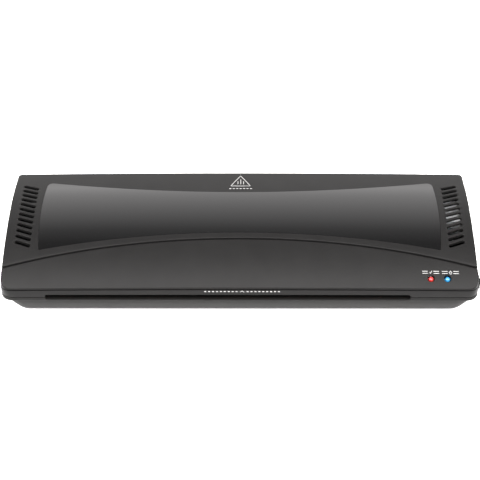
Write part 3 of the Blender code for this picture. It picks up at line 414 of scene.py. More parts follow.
def rear_profile(depth):
    """The rear fillet and wall in (y, z), with the true outward angle from the vertical at each point."""
    tangent = math.asin((REAR_FILLET_Y - APEX_Y) / (TOP_RADIUS - REAR_FILLET))
    centre_z = HEIGHT - TOP_RADIUS + (TOP_RADIUS - REAR_FILLET) * math.cos(tangent)
    radius = REAR_FILLET - depth
    points = []
    for i in range(13):
        a = tangent + (REAR_WALL_ANGLE - tangent) * i / 12
        points.append((REAR_FILLET_Y + radius * math.sin(a), centre_z + radius * math.cos(a), a))
    y, z, _ = points[-1]
    end_y = REAR_Y - depth
    steps = 12
    for i in range(1, steps + 1):
        share = i / steps
        points.append((y + (end_y - y) * share, z + (TOP_LIP_Z - z) * share, math.pi / 2))
    return tangent, points


def rear_cover_shell():
    """The rear shell of the top: the arc behind the seam, the fillet and the rear wall."""
    across = shares(110)
    back = rear_profile(0.0)[1]
    back_inner = rear_profile(WALL)[1]
    arc_steps = 46
    seam_start = SEAM_GAP / 2 + SEAM_EDGE

    def rounding(j):
        """Radius of the side edge, and how far it has turned from the top towards the rear wall."""
        if j <= arc_steps:
            return EDGE + (REAR_EDGE - EDGE) * ramp(j / arc_steps, 0.6, 1.0), 0.0
        k = j - arc_steps
        turned = min(k / 12, 1.0)
        grown = REAR_EDGE + turned + (REAR_CORNER - REAR_EDGE - 1.0) * min(max((k - 12) / 5, 0.0), 1.0)
        return grown, turned * math.pi / 2

    def sheet(depth, start, side):
        rows = []
        profile = back_inner if depth else back
        for j in range(arc_steps + 1):
            row = []
            half = side if side else TOP_HALF_WIDTH - rounding(j)[0]
            for u in across:
                x = row_x(u, half, side)
                front = seam_y(u * (TOP_HALF_WIDTH - EDGE)) + start
                y = front + (profile[0][0] - front) * j / arc_steps
                row.append((x, y, top_height(y, depth)))
            rows.append(row)
        for k, (y, z, _) in enumerate(profile[1:]):
            half = side if side else TOP_HALF_WIDTH - rounding(arc_steps + 1 + k)[0]
            rows.append([(row_x(u, half, side), y, z) for u in across])
        return rows

    def row_x(u, half, side):
        if not side:
            return u * half
        return math.copysign(half, u) if abs(u) == 1.0 else min(max(u * (half + WALL - EDGE), -half), half)

    outer = sheet(0.0, seam_start, 0.0)
    inner = sheet(WALL, SEAM_GAP / 2, TOP_HALF_WIDTH - WALL)
    rows, columns = len(outer), len(across)
    loop = round_loop(rows, columns)
    rings = []
    for t in ROUNDING:
        ring = []
        for j, i in loop:
            x, y, z = outer[j][i]
            radius, turned = rounding(j)
            sideways = -1 if i == 0 else 1 if i == columns - 1 else 0
            if sideways:
                x += sideways * radius * math.sin(t)
                fall = radius * (1 - math.cos(t))
                if j == 0:
                    y -= SEAM_EDGE * math.sin(t)
                    z = top_height(y)
                y -= fall * math.sin(turned)
                z -= fall * math.cos(turned)
            elif j == 0:
                spot = Vector((x, y)) - seam_normal(x) * SEAM_EDGE * math.sin(t)
                x, y = spot
                z = top_height(y) - SEAM_EDGE * (1 - math.cos(t))
            ring.append((x, y, z))
        rings.append(ring)
    low_outer, low_inner = [], []
    for (j, i), (x, y, z) in zip(loop, rings[-1]):
        sideways = -1 if i == 0 else 1 if i == columns - 1 else 0
        if sideways:
            low_outer.append((x, y, TOP_LIP_Z))
            inner_y = y if j == 0 else inner[j][i][1]
            low_inner.append((x - sideways * WALL, inner_y, TOP_LIP_Z))
            if j == 0:
                inner[j][i] = (x - sideways * WALL, y, top_height(y, WALL))
        elif j == 0:
            low_outer.append((x, y, top_height(y, WALL)))
            low_inner.append(low_outer[-1])
            inner[j][i] = low_outer[-1]
        else:
            low_outer.append((x, y, z))
            low_inner.append(inner[j][i])
    rings += [low_outer, low_inner]
    return double_sheet("top_rear_shell", outer, rings, inner)


def follow(name, outline, levels):
    """A tool whose rings follow the top surface, with flat ends well above and below it.

    outline gives the plan grown by an amount. levels pairs each depth below the surface with that
    amount, from above the surface down.
    """
    first, last = outline(levels[0][1]), outline(levels[-1][1])
    rings = [[crowned((x, y, HEIGHT + 6)) for x, y in first]]
    for depth, grow in levels:
        rings.append([crowned((x, y, top_height(y) - depth)) for x, y in outline(grow)])
    low = min(top_height(y) for _, y in last) - levels[-1][0] - 2
    rings.append([crowned((x, y, low)) for x, y in last])
    return loft(name, rings)


def mouth(radius, reach, steps=5):
    """Levels of a hole whose edge is rounded by radius, down to the depth reach."""
    levels = []
    for i in range(steps + 1):
        t = math.radians(25 + 65 * i / steps)
        levels.append((radius * (1 - math.cos(t)), radius * (1 - math.sin(t))))
    lift = 0.25
    spread = (levels[0][0] + lift) / math.tan(math.radians(25))
    return [(-lift, levels[0][1] + spread)] + levels + [(reach, 0.0)]


def stadium(start, end, half, steps=6):
    """A round-ended slot between two end centres, in plan."""
    lean = math.degrees(math.atan2(end[1] - start[1], end[0] - start[0]))
    return arc(end, half, lean - 90, lean + 90, steps) + arc(start, half, lean + 90, lean + 270, steps)


def vent_tool():
    """All the cooling slots, each with a rounded mouth."""
    tools = []
    for side in (-1, 1):
        for i in range(VENTS):
            y = VENT_FIRST_Y + VENT_PITCH * i
            ends = (side * VENT_INNER_X, y - VENT_SLANT / 2), (side * VENT_OUTER_X, y + VENT_SLANT / 2)
            tools.append(
                follow("vent", lambda grow, ends=ends: stadium(*ends, VENT_HALF + grow), mouth(0.3, 7.0))
            )
    return merged("vents", tools)


def rounded(points, radii, steps=6):
    """The polygon with an arc at each corner that has a radius."""
    made = []
    for i, (here, radius) in enumerate(zip(points, radii)):
        here = Vector(here)
        if radius <= 0:
            made.append(tuple(here))
            continue
        back = (Vector(points[i - 1]) - here).normalized()
        on = (Vector(points[(i + 1) % len(points)]) - here).normalized()
        middle_way = (back + on).normalized()
        half = back.angle(on) / 2
        centre = here + middle_way * radius / math.sin(half)
        way = math.copysign(1.0, back.cross(on))
        for j in range(steps + 1):
            swing = (j / steps - 0.5) * (math.pi - 2 * half)
            made.append(tuple(centre - Matrix.Rotation(-way * swing, 2) @ middle_way * radius))
    return made


def gloss_outline(grow):
    """Plan of the gloss insert, grown outwards by grow."""
    half = GLOSS_HALF + grow
    steps, sides = 72, 10
    across = [half * (2 * i / steps - 1) for i in range(steps + 1)]
    bottom = [(x, GLOSS_BOTTOM_Y + GLOSS_BOTTOM_BOW * (x / GLOSS_HALF) ** 2 - grow) for x in across]
    top = [(x, GLOSS_TOP_Y + GLOSS_TOP_BOW * (x / GLOSS_HALF) ** 2 + grow) for x in reversed(across)]
    rise = [
        (GLOSS_SIDE_BOW * 4 * t * (1 - t), bottom[-1][1] + (top[0][1] - bottom[-1][1]) * t)
        for t in (i / sides for i in range(1, sides))
    ]
    flat = [0] * (steps - 1)
    low, high = GLOSS_BOTTOM_CORNER + grow, GLOSS_TOP_CORNER + grow
    # The insert's long edges have points close to the corners, which the corner arcs stand in for
    skip = 1 + int(high / (2 * half / steps))
    top = [top[0]] + top[1 + skip : -1 - skip] + [top[-1]]
    flat_top = [0] * (len(top) - 2)
    right = [(half + bow, y) for bow, y in rise]
    left = [(-half - bow, y) for bow, y in reversed(rise)]
    flat_side = [0] * len(rise)
    radii = [low, *flat, low, *flat_side, high, *flat_top, high, *flat_side]
    return rounded(bottom + right + top + left, radii)


def slab(name, above, below):
    """The layer of the casing's top between two depths, over the insert's area."""
    half, low, high = GLOSS_HALF + 8, GLOSS_BOTTOM_Y - 26, GLOSS_TOP_Y + 24
    columns, rows = 110, 60
    grids = []
    for depth in (above, below):
        grids.append(
            [
                [
                    (x, y, top_height(y, depth))
                    for x in (half * (2 * i / columns - 1) for i in range(columns + 1))
                ]
                for y in (low + (high - low) * j / rows for j in range(rows + 1))
            ]
        )
    return double_sheet(name, grids[0], [], grids[1])


def disc(centre, axis, radius, height, sides=32):
    """A ring of points round an axis, height along it from centre, in millimetres."""
    turn = Vector(axis).to_track_quat("Z", "Y").to_matrix()
    return [
        Vector(centre) + turn @ Vector((radius * math.cos(a), radius * math.sin(a), height))
        for a in (2 * math.pi * i / sides for i in range(sides))
    ]


def turned(name, centre, axis, profile, sides=32, smooth=35.0):
    """A solid of revolution: (radius, height) pairs along the axis, capped at both ends."""
    return loft(name, [disc(centre, axis, r, h, sides) for r, h in profile], smooth=smooth)


def bosses(name, y, front):
    """Screw bosses under the top, reaching into its thickness and cut back behind the seam."""
    made = []
    for x in (-POST_X, POST_X):
        plan = arc((x, y), 3.8, 0, 345, 23)
        if front:
            plan = [(px, min(py, seam_y(px) - SEAM_GAP / 2)) for px, py in plan]
        low = SPLIT_Z + 0.6
        rings = [[crowned((px, py, low)) for px, py in plan]]
        rings.append([crowned((px, py, top_height(py, WALL / 2))) for px, py in plan])
        made.append(loft(f"{name}_{x:.0f}", rings))
    return merged(name, made)


def boss_holes(name, y):
    low = SPLIT_Z - 2
    bore = [(SCREW_HOLE, 0), (SCREW_HOLE, 12)]
    holes = [turned(f"{name}_{x:.0f}", (x, y, low), (0, 0, 1), bore, 16) for x in (-POST_X, POST_X)]
    return merged(name, holes)


# ---------------------------------------------------------------- ring and lower housing


def plan_loop(half, front, rear, front_radius, rear_radius, along=64, side=16, turn=9):
    """Points round a rounded rectangle in plan, always the same number of them."""
    loop = []
    corners = (
        ((half - front_radius, front + front_radius), front_radius, -90),
        ((half - rear_radius, rear - rear_radius), rear_radius, 0),
        ((-half + rear_radius, rear - rear_radius), rear_radius, 90),
        ((-half + front_radius, front + front_radius), front_radius, 180),
    )
    for i, (centre, radius, start) in enumerate(corners):
        bend = arc(centre, radius, start, start + 90, turn)
        following = corners[(i + 1) % 4]
        begin = arc(following[0], following[1], following[2], following[2] + 90, 1)[0]
        steps = side if i in (0, 2) else along
        last = bend[-1]
        straight = [
            (last[0] + (begin[0] - last[0]) * k / steps, last[1] + (begin[1] - last[1]) * k / steps)
            for k in range(1, steps)
        ]
        loop += bend + straight
    return loop


def ring_plan(inset):
    return plan_loop(HALF_WIDTH - inset, FRONT_Y + inset, REAR_Y - inset, 11.5 - inset, 5.0 - inset)


def base_plan(inset, flare=0.0):
    """The base's walls, which lean out by flare at the front and the sides."""
    half = BASE_HALF_WIDTH - inset + flare * SIDE_FLARE
    front, rear = BASE_FRONT_Y + inset - flare, BASE_REAR_Y - inset
    return plan_loop(half, front, rear, 10.0 - inset + flare, 6.0 - inset)


def quarter(radius, steps=4):
    """(inset, height) of a rounded outer edge, from the wall's side to the top, height below the top."""
    angles = [math.radians(90 * i / steps) for i in range(steps + 1)]
    return [(radius * (1 - math.cos(a)), radius * (1 - math.sin(a))) for a in angles]


def band(name, profile, plans):
    """A closed wall round the machine: (plan, inset, z) for each ring of its cross-section."""
    rings = [[crowned((x, y, z)) for x, y in plans[plan](inset)] for plan, inset, z in profile]
    return loft(name, rings, closed=True)


def slot_tool(name, heights, y, inward, lip):
    """A cutter for a slot in the wall at y, with lips rounded outwards, inward along the Y sign given."""
    low, high = heights
    levels = [(-1.2, lip * 1.9)]
    for i in range(7):
        t = math.radians(20 + 70 * i / 6)
        levels.append((lip * (1 - math.cos(t)), lip * (1 - math.sin(t))))
    levels.append((7.0, 0.0))
    rings = []
    for depth, grow in levels:
        radius = SLOT_CORNER + grow * 0.6
        box = [
            (SLOT_MIDDLE_X - SLOT_HALF - grow, low - grow),
            (SLOT_MIDDLE_X + SLOT_HALF + grow, low - grow),
            (SLOT_MIDDLE_X + SLOT_HALF + grow, high + grow),
            (SLOT_MIDDLE_X - SLOT_HALF - grow, high + grow),
        ]
        outline = []
        shape = rounded(box, [radius] * 4, 5)
        for (ax, az), (bx, bz) in zip(shape, shape[1:] + shape[:1]):
            steps = 40 if abs(bx - ax) > 100 else 1
            outline += [(ax + (bx - ax) * k / steps, az + (bz - az) * k / steps) for k in range(steps)]
        rings.append([crowned((x, y + inward * depth, z)) for x, z in outline])
    return loft(name, rings)


def bezel_ring_piece():
    """The band that holds the feed slot, the exit slot and the switch."""
    low, high = SPLIT_Z + PARTING, RING_TOP_Z
    profile = [("ring", inset, low + fall) for inset, fall in reversed(quarter(0.3))]
    profile += [("ring", inset, high - fall) for inset, fall in quarter(0.35)]
    profile += [("ring", WALL, high), ("ring", WALL, low)]
    ring = band("bezel_band", profile, {"ring": ring_plan})
    low_corner, high_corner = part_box("switch_housing")
    middle = (low_corner + high_corner) / 2 / MM
    switch_hole = loft(
        "switch_hole",
        [
            [(x, middle.y + sy * 9.6, middle.z + sz * 3.3) for sy, sz in ((-1, -1), (1, -1), (1, 1), (-1, 1))]
            for x in (HALF_WIDTH - 6, HALF_WIDTH + 4)
        ],
    )
    return cut(
        ring,
        slot_tool("feed_mouth", FEED_SLOT, FRONT_Y, 1, 1.1),
        slot_tool("exit_mouth", EXIT_SLOT, REAR_Y, -1, 0.9),
        switch_hole,
    )


def lower_housing_piece():
    """The tray of the machine: floor, base walls, the step out to the rim, posts and openings."""
    rim_top = SPLIT_Z - PARTING
    floor_in = FLOOR_Z + WALL
    profile = [("base", WALL + 2, FLOOR_Z)]
    profile += [("base", inset, FLOOR_Z + fall) for inset, fall in reversed(quarter(1.3))]
    profile += [("base", -flare, z) for flare, z in BASE_FLARE]
    profile += [("ring", inset, RIM_Z + fall) for inset, fall in reversed(quarter(0.8))]
    profile += [("ring", inset, rim_top - fall) for inset, fall in quarter(0.3)]
    profile += [("ring", WALL, rim_top), ("ring", WALL, RIM_Z + FLANGE)]
    profile += [("base", WALL, RIM_Z + FLANGE), ("base", WALL, floor_in + 1), ("base", WALL + 1, floor_in)]
    rings = []
    for plan, inset, z in profile:
        if plan == "ring":
            outline = ring_plan(inset)
        else:
            outline = base_plan(max(inset, 0.0), max(-inset, 0.0))
        rings.append([crowned((x, y, z)) for x, y in outline])
    tray = loft("base_tray", rings)
    where = [(x, y) for x in (-POST_X, POST_X) for y in POST_YS]
    posts = [
        turned("post", (x, y, FLOOR_Z + 0.6), (0, 0, 1), [(5.2, 0), (5.2, SPLIT_Z - FLOOR_Z - 1.2)], 28)
        for x, y in where
    ]
    bore = [(SCREW_HOLE, -1), (SCREW_HOLE, SPLIT_Z + 3)]
    holes = [turned("hole", (x, y, 0), (0, 0, 1), bore, 20) for x, y in where]
    wells = [
        turned("well", (x, y, FLOOR_Z), (0, 0, 1), [(5.1, -0.6), (4.2, 0.3), (3.9, 0.6), (3.9, 4.5)], 28)
        for x, y in where
    ]
    seats = []
    for node in (n for n in frame["nodes"] if n.startswith("foot_")):
        low_corner, high_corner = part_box(node)
        middle = (low_corner + high_corner) / 2 / MM
        seats.append(turned("seat", (middle.x, middle.y, FLOOR_Z), (0, 0, 1), [(2.3, -2), (2.3, 4)], 20))
    low_corner, high_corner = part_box("mains_inlet")
    middle = (low_corner + high_corner) / 2 / MM
    inlet_half, inlet_half_z = 10.8, 5.9
    inlet = loft(
        "inlet_opening",
        [
            [
                (middle.x + sx * inlet_half, y, middle.z + sz * inlet_half_z)
                for sx, sz in ((-1, -1), (1, -1), (1, 1), (-1, 1))
            ]
            for y in (BASE_REAR_Y - 6, BASE_REAR_Y + 6)
        ],
    )
    join(tray, merged("posts", posts))
    cut(tray, merged("holes", holes))
    feed_mouth = slot_tool("feed_mouth_low", FEED_SLOT, FRONT_Y, 1, 1.1)
    cut(tray, merged("wells", wells + seats), inlet, feed_mouth)
    return tray


# ---------------------------------------------------------------- materials

# The colours of the casing, base and insert are fitted to the photograph under the strong light
# of sky(). They are about eight to ten times darker than the record's colours for their slots.


class Finish:
    """A node material, with short calls to add and link its nodes."""

    def __init__(self, name, colour, roughness, metallic=0.0, specular=0.5):
        self.material = bpy.data.materials.new(name)
        self.material.use_nodes = True
        self.tree = self.material.node_tree
        self.shader = self.tree.nodes["Principled BSDF"]
        self.put("Base Color", (*colour, 1.0))
        self.put("Roughness", roughness)
        self.put("Metallic", metallic)
        self.put("Specular IOR Level", specular)
        self.place = self.tree.nodes.new("ShaderNodeTexCoord").outputs["Object"]

    def put(self, socket, value):
        self.shader.inputs[socket].default_value = value

    def link(self, source, target):
        self.tree.links.new(source, target)
        return self

    def mapped(self, scale):
        node = self.tree.nodes.new("ShaderNodeMapping")
        node.inputs["Scale"].default_value = scale
        self.link(self.place, node.inputs["Vector"])
        return node.outputs["Vector"]

    def noise(self, scale, detail=2.0, stretch=(1, 1, 1)):
        node = self.tree.nodes.new("ShaderNodeTexNoise")
        node.inputs["Scale"].default_value = scale
        node.inputs["Detail"].default_value = detail
        self.link(self.mapped(stretch), node.inputs["Vector"])
        return node.outputs["Fac"]

    def spread(self, source, low, high):
        """source, which lies between 0 and 1, spread over low to high."""
        node = self.tree.nodes.new("ShaderNodeMapRange")
        node.inputs["To Min"].default_value = low
        node.inputs["To Max"].default_value = high
        self.link(source, node.inputs["Value"])
        return node.outputs["Result"]

    def tint(self, source, low, high, start=0.3, end=0.7):
        """Base colour between two colours by source."""
        node = self.tree.nodes.new("ShaderNodeValToRGB")
        for element, colour, where in zip(node.color_ramp.elements, (low, high), (start, end)):
            element.color = (*colour, 1.0)
            element.position = where
        self.link(source, node.inputs["Fac"])
        return self.link(node.outputs["Color"], self.shader.inputs["Base Color"])

    def rough(self, source, low, high):
        return self.link(self.spread(source, low, high), self.shader.inputs["Roughness"])

    def bump(self, source, strength, distance):
        node = self.tree.nodes.new("ShaderNodeBump")
        node.inputs["Strength"].default_value = strength
        node.inputs["Distance"].default_value = distance
        self.link(source, node.inputs["Height"])
        return self.link(node.outputs["Normal"], self.shader.inputs["Normal"])


def grained(name, colour, roughness, grain, specular, depth=0.00003):
    """Moulded plastic with a fine spark-eroded grain and slightly uneven colour and sheen."""
    made = Finish(name, colour, roughness, specular=specular)
    fine = made.noise(1 / grain, 3.0)
    broad = made.noise(60.0, 2.0)
    darker = tuple(c * 0.93 for c in colour)
    lighter = tuple(c * 1.07 for c in colour)
    made.tint(broad, darker, lighter)
    made.rough(made.noise(35.0, 3.0), roughness - 0.04, roughness + 0.04)
    made.bump(fine, 0.35, depth)
    return made.material


def charcoal_case():
    return grained("charcoal_case", (0.0076, 0.0074, 0.0073), 0.38, 0.0006, 0.12)


def grey_base():
    """Lighter grey below the rim, whose outside is finished like the casing above it."""
    made = Finish("grey_base", (0.03, 0.03, 0.03), 0.48, specular=0.11)
    height = made.tree.nodes.new("ShaderNodeSeparateXYZ")
    made.link(made.place, height.inputs["Vector"])
    edge = made.tree.nodes.new("ShaderNodeMapRange")
    edge.inputs["From Min"].default_value = (RIM_Z + 0.1) * MM
    edge.inputs["From Max"].default_value = (RIM_Z + 0.3) * MM
    made.link(height.outputs["Z"], edge.inputs["Value"])
    made.tint(edge.outputs["Result"], (0.0158, 0.0155, 0.015), (0.0085, 0.0083, 0.008), 0.0, 1.0)
    made.rough(made.noise(35.0, 3.0), 0.44, 0.54)
    made.bump(made.noise(1 / 0.0006, 3.0), 0.35, 0.00003)
    return made.material


def satin_black(name):
    return grained(name, (0.005, 0.005, 0.005), 0.38, 0.0008, 0.15, 0.00001)


def gloss_insert():
    """Polished black plastic with faint flow lines along its length."""
    made = Finish("gloss_insert", (0.0075, 0.0075, 0.0078), 0.07, specular=0.5)
    flow = made.noise(40.0, 3.0, (0.05, 1.0, 0.3))
    made.rough(flow, 0.05, 0.10)
    made.tint(made.noise(18.0, 2.0, (0.2, 1, 1)), (0.0018, 0.0018, 0.0019), (0.0026, 0.0026, 0.0027))
    made.bump(made.noise(25.0, 1.0, (0.3, 1.0, 1.0)), 0.03, 0.0001)
    return made.material


def lens(name, colour, glow, strength):
    """A tinted lens, lit from behind and brighter at its middle."""
    made = Finish(name, colour, 0.12, specular=0.6)
    weight = made.tree.nodes.new("ShaderNodeLayerWeight")
    weight.inputs["Blend"].default_value = 0.4
    glowing = made.spread(weight.outputs["Facing"], strength, strength * 0.25)
    made.link(glowing, made.shader.inputs["Emission Strength"])
    made.put("Emission Color", (*glow, 1.0))
    made.put("Coat Weight", 0.5)
    made.rough(made.noise(900.0), 0.1, 0.16)
    return made.material


def red_lens():
    return lens("red_lens", (0.35, 0.02, 0.02), (1.0, 0.08, 0.07), 0.28)


def blue_lens():
    return lens("blue_lens", (0.02, 0.16, 0.35), (0.08, 0.5, 1.0), 0.43)


def ink():
    """Silver-white pad printing, slightly thin in places."""
    made = Finish("silver_ink", (0.6, 0.6, 0.59), 0.5)
    made.tint(made.noise(2500.0, 2.0), (0.3, 0.3, 0.295), (0.42, 0.42, 0.41))
    return made.material


def metal(name, colour, roughness, stretch, scale=300.0, depth=0.00001):
    """Metal with lines, or cells when stretch is even, left by how it was made."""
    made = Finish(name, colour, roughness, 1.0)
    lines = made.noise(scale, 4.0, stretch)
    made.rough(lines, roughness - 0.08, roughness + 0.12)
    made.tint(lines, tuple(c * 0.88 for c in colour), tuple(min(c * 1.08, 1.0) for c in colour))
    made.bump(lines, 0.3, depth)
    return made.material


def screw_steel():
    return metal("screw_steel", (0.52, 0.52, 0.54), 0.32, (1, 1, 1), 900.0)


def plate_steel():
    """Galvanised sheet, with its spangle."""
    made = Finish("plate_steel", (0.5, 0.51, 0.52), 0.42, 1.0)
    cells = made.tree.nodes.new("ShaderNodeTexVoronoi")
    cells.inputs["Scale"].default_value = 160.0
    made.link(made.place, cells.inputs["Vector"])
    value = made.tree.nodes.new("ShaderNodeSeparateColor")
    made.link(cells.outputs["Color"], value.inputs["Color"])
    made.tint(value.outputs["Red"], (0.44, 0.45, 0.46), (0.58, 0.59, 0.6), 0.0, 1.0)
    made.rough(value.outputs["Green"], 0.34, 0.5)
    return made.material


def shaft_steel():
    return metal("shaft_steel", (0.66, 0.66, 0.67), 0.2, (6, 1, 1), 500.0)


def spring_steel():
    return metal("spring_steel", (0.5, 0.5, 0.52), 0.28, (1, 1, 1), 1200.0)


def heater_aluminium():
    return metal("heater_aluminium", (0.74, 0.74, 0.76), 0.34, (0.02, 1, 1), 900.0)


def fuse_metal():
    return metal("fuse_metal", (0.72, 0.69, 0.6), 0.3, (0.1, 1, 1), 900.0)


def roller_rubber():
    return grained("roller_rubber", (0.33, 0.055, 0.035), 0.62, 0.0005, 0.35)


def foot_rubber():
    return grained("foot_rubber", (0.014, 0.014, 0.014), 0.75, 0.0009, 0.3)


def acetal():
    made = Finish("acetal", (0.78, 0.76, 0.69), 0.42)
    made.put("Subsurface Weight", 0.15)
    made.put("Subsurface Radius", (0.002, 0.002, 0.0015))
    made.tint(made.noise(120.0, 3.0), (0.74, 0.72, 0.65), (0.82, 0.8, 0.73))
    made.rough(made.noise(400.0, 2.0), 0.36, 0.48)
    return made.material


def circuit_board():
    """Solder mask over copper tracks."""
    made = Finish("circuit_board", (0.02, 0.15, 0.06), 0.35)
    tracks = made.tree.nodes.new("ShaderNodeTexBrick")
    tracks.inputs["Scale"].default_value = 220.0
    tracks.inputs["Mortar Size"].default_value = 0.012
    tracks.inputs["Color1"].default_value = (0.015, 0.12, 0.05, 1.0)
    tracks.inputs["Color2"].default_value = (0.02, 0.15, 0.06, 1.0)
    tracks.inputs["Mortar"].default_value = (0.05, 0.26, 0.1, 1.0)
    made.link(made.place, tracks.inputs["Vector"])
    made.link(tracks.outputs["Color"], made.shader.inputs["Base Color"])
    made.rough(made.noise(300.0), 0.28, 0.42)
    return made.material


def mica():
    made = Finish("mica", (0.6, 0.48, 0.34), 0.5)
    made.tint(made.noise(500.0, 5.0, (0.3, 1, 1)), (0.5, 0.38, 0.25), (0.7, 0.58, 0.42))
    made.rough(made.noise(700.0, 3.0), 0.3, 0.6)
    return made.material


def phenolic():
    made = Finish("phenolic", (0.05, 0.03, 0.02), 0.4)
    made.tint(made.noise(1500.0, 4.0), (0.035, 0.02, 0.012), (0.07, 0.045, 0.03))
    made.rough(made.noise(600.0, 2.0), 0.3, 0.5)
    return made.material


FINISHES = {
    "charcoal_case": charcoal_case,
    "grey_base": grey_base,
    "gloss_insert": gloss_insert,
    "red_lens": red_lens,
    "blue_lens": blue_lens,
    "circuit_board": circuit_board,
    "switch_plastic": lambda: satin_black("switch_plastic"),
    "inlet_plastic": lambda: satin_black("inlet_plastic"),
    "foot_rubber": foot_rubber,
    "screw_steel": screw_steel,
    "plate_steel": plate_steel,
    "shaft_steel": shaft_steel,
    "spring_steel": spring_steel,
    "roller_rubber": roller_rubber,
    "acetal": acetal,
    "heater_aluminium": heater_aluminium,
    "mica": mica,
    "phenolic": phenolic,
    "lead_insulation": lambda: satin_black("lead_insulation"),
    "fuse_metal": fuse_metal,
}
MATERIALS = {name: make() for name, make in FINISHES.items()}
MATERIALS["silver_ink"] = ink()
# Near-black for the feed and exit guides, in place of their own finish from the record: painted shade that
# keeps the inside of the slots dark.
MATERIALS["guide_painted_shade"] = grained("guide_painted_shade", (0.003, 0.003, 0.003), 0.7, 0.0008, 0.1)
SLOTS = {part["node"]: part["material_slot"] for part in frame["record"]["subparts"]}


def finish_cad_nodes():
    for name, obj in frame["nodes"].items():
        # The feed and exit guides get the near-black painted shade of the slots' insides instead of their own
        # finish.
        finish = "guide_painted_shade" if name in ("feed_guide", "exit_guide") else SLOTS[name]
        obj.data.materials.clear()
        obj.data.materials.append(MATERIALS[finish])


def compress_springs():
    """Gives each of the four bearing springs its own copy of its mesh."""
    for end in ("front", "rear"):
        for side in ("left", "right"):
            node = f"{end}_spring_{side}"
            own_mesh(frame["nodes"][node])


def dress(piece, slot_name, body, *nodes):
    """Gives a piece its material and body, and hides the CAD nodes that it stands for."""
    piece.data.materials.clear()
    piece.data.materials.append(MATERIALS[slot_name])
    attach(piece, body)
    if nodes:
        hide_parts(*nodes)
    return piece


# ---------------------------------------------------------------- casing pieces


def led_axis(node):
    """A lamp's place on the front panel, and the direction that the panel faces there."""
    low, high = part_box(node)
    x = (low.x + high.x) / 2 / MM
    y = LAMP_Y
    facing = top_normal(y)
    return crowned((x, y, top_height(y))), Vector((0, facing.x, facing.y))


def casing():
    panel = front_panel_shell()
    openings = []
    for node in ("ready_led", "power_led"):
        spot, out = led_axis(node)
        profile = [(4.5, 0.5), (3.55, 0.05), (3.4, -0.15), (3.3, -0.5), (3.3, -6)]
        openings.append(turned("lamp_opening", spot, out, profile, 40))
    join(panel, bosses("front_bosses", POST_YS[0], True))
    cut(panel, boss_holes("front_boss_holes", POST_YS[0]), merged("lamp_openings", openings))
    dress(panel, "charcoal_case", "casing", "front_panel")

    cover = rear_cover_shell()
    join(cover, bosses("rear_bosses", POST_YS[1], False))
    recess = follow("recess", lambda grow: gloss_outline(grow + RECESS_CLEARANCE), PLAIN_WALL)
    trim(recess, slab("recess_layer", -4.0, RECESS_DEPTH))
    cut(cover, boss_holes("rear_boss_holes", POST_YS[1]), recess)
    cut(cover, vent_tool())
    dress(cover, "charcoal_case", "casing", "top_cover")

    insert = follow("gloss_sheet", gloss_outline, PLAIN_WALL)
    trim(insert, slab("insert_layer", 0.0, INSERT_THICKNESS))
    dress(insert, "gloss_insert", "casing", "gloss_panel")

    dress(bezel_ring_piece(), "charcoal_case", "casing", "bezel_ring")
    dress(lower_housing_piece(), "grey_base", "casing", "lower_housing")


# ---------------------------------------------------------------- printed marks


def on_top(x, y, lift):
    return crowned((x, y, top_height(y) + lift))


def on_bezel(x, z, lift):
    return crowned((x, FRONT_Y - lift, z))


def stroke(points, half, place, closed=False):
    """A flat line of ink along points, half as wide to each side."""
    rings = []
    count = len(points)
    for i, point in enumerate(points):
        here = Vector(point)
        before = Vector(points[i - 1] if closed or i else point)
        after = Vector(points[(i + 1) % count] if closed or i < count - 1 else point)
        back = (here - before).normalized() if before != here else (after - here).normalized()
        on = (after - here).normalized() if after != here else back
        across = Vector((-(back + on).y, (back + on).x)).normalized()
        reach = half / max(across.dot(Vector((-on.y, on.x))), 0.4)
        left, right = here + across * reach, here - across * reach
        rings.append([place(*left, INK), place(*right, INK), place(*right, -INK), place(*left, -INK)])
    return loft("stroke", rings, closed)


def bar(left, right, height, half, place):
    """A short straight bar of ink, in pieces small enough to follow the surface."""
    steps = max(int((right - left) / 3), 1)
    return stroke([(left + (right - left) * i / steps, height) for i in range(steps + 1)], half, place)


def printed(name, strokes, body="casing"):
    piece = merged(name, strokes)
    return dress(piece, "silver_ink", body)


def lamp_marks():
    """A tick for ready and the usual ring and bar for power, each between two rows of bars."""
    ready_x, power_x = 174.2, 192.2
    y = LAMP_Y + 5.0
    tick = [(ready_x - 1.1, y + 0.1), (ready_x - 0.3, y - 0.9), (ready_x + 1.2, y + 1.2)]
    printed("ready_tick", [stroke(tick, FINE_LINE, on_top)])
    ring = arc((power_x, y - 0.1), 1.15, 125, 415, 16)
    upright = [(power_x, y + 0.1), (power_x, y + 1.5)]
    printed("power_ring", [stroke(ring, FINE_LINE, on_top), stroke(upright, FINE_LINE, on_top)])
    for name, middle in (("ready_bars", ready_x), ("power_bars", power_x)):
        bars = []
        for side in (-1, 1):
            for row in (-0.85, 0.85):
                ends = sorted((middle + side * 2.6, middle + side * 7.6))
                bars.append(bar(*ends, y + row, FINE_LINE, on_top))
        printed(name, bars)


def heat_marks():
    """A plain triangle with three straight strokes inside, over a row of dashes."""
    outline = rounded([(-8.6, 37.0), (10.2, 37.0), (0.8, 53.4)], [0.4] * 3, 3)
    fine = []
    for (ax, ay), (bx, by) in zip(outline, outline[1:] + outline[:1]):
        steps = max(int(math.dist((ax, ay), (bx, by)) / 2.5), 1)
        fine += [(ax + (bx - ax) * k / steps, ay + (by - ay) * k / steps) for k in range(steps)]
    inner = []
    for x, reach in ((-1.7, 44.4), (1.0, 47.4), (3.7, 44.4)):
        inner.append(stroke([(x, 39.8), (x, 43.0), (x, reach)], 0.26, on_top))
    printed("heat_triangle", [stroke(fine, 0.25, on_top, closed=True)])
    printed("heat_strokes", inner)
    dashes = [bar(x - 0.9, x + 0.9, 33.1, 0.4, on_top) for x in (0.9 + 3.3 * i for i in range(-3, 4))]
    printed("heat_dashes", dashes)


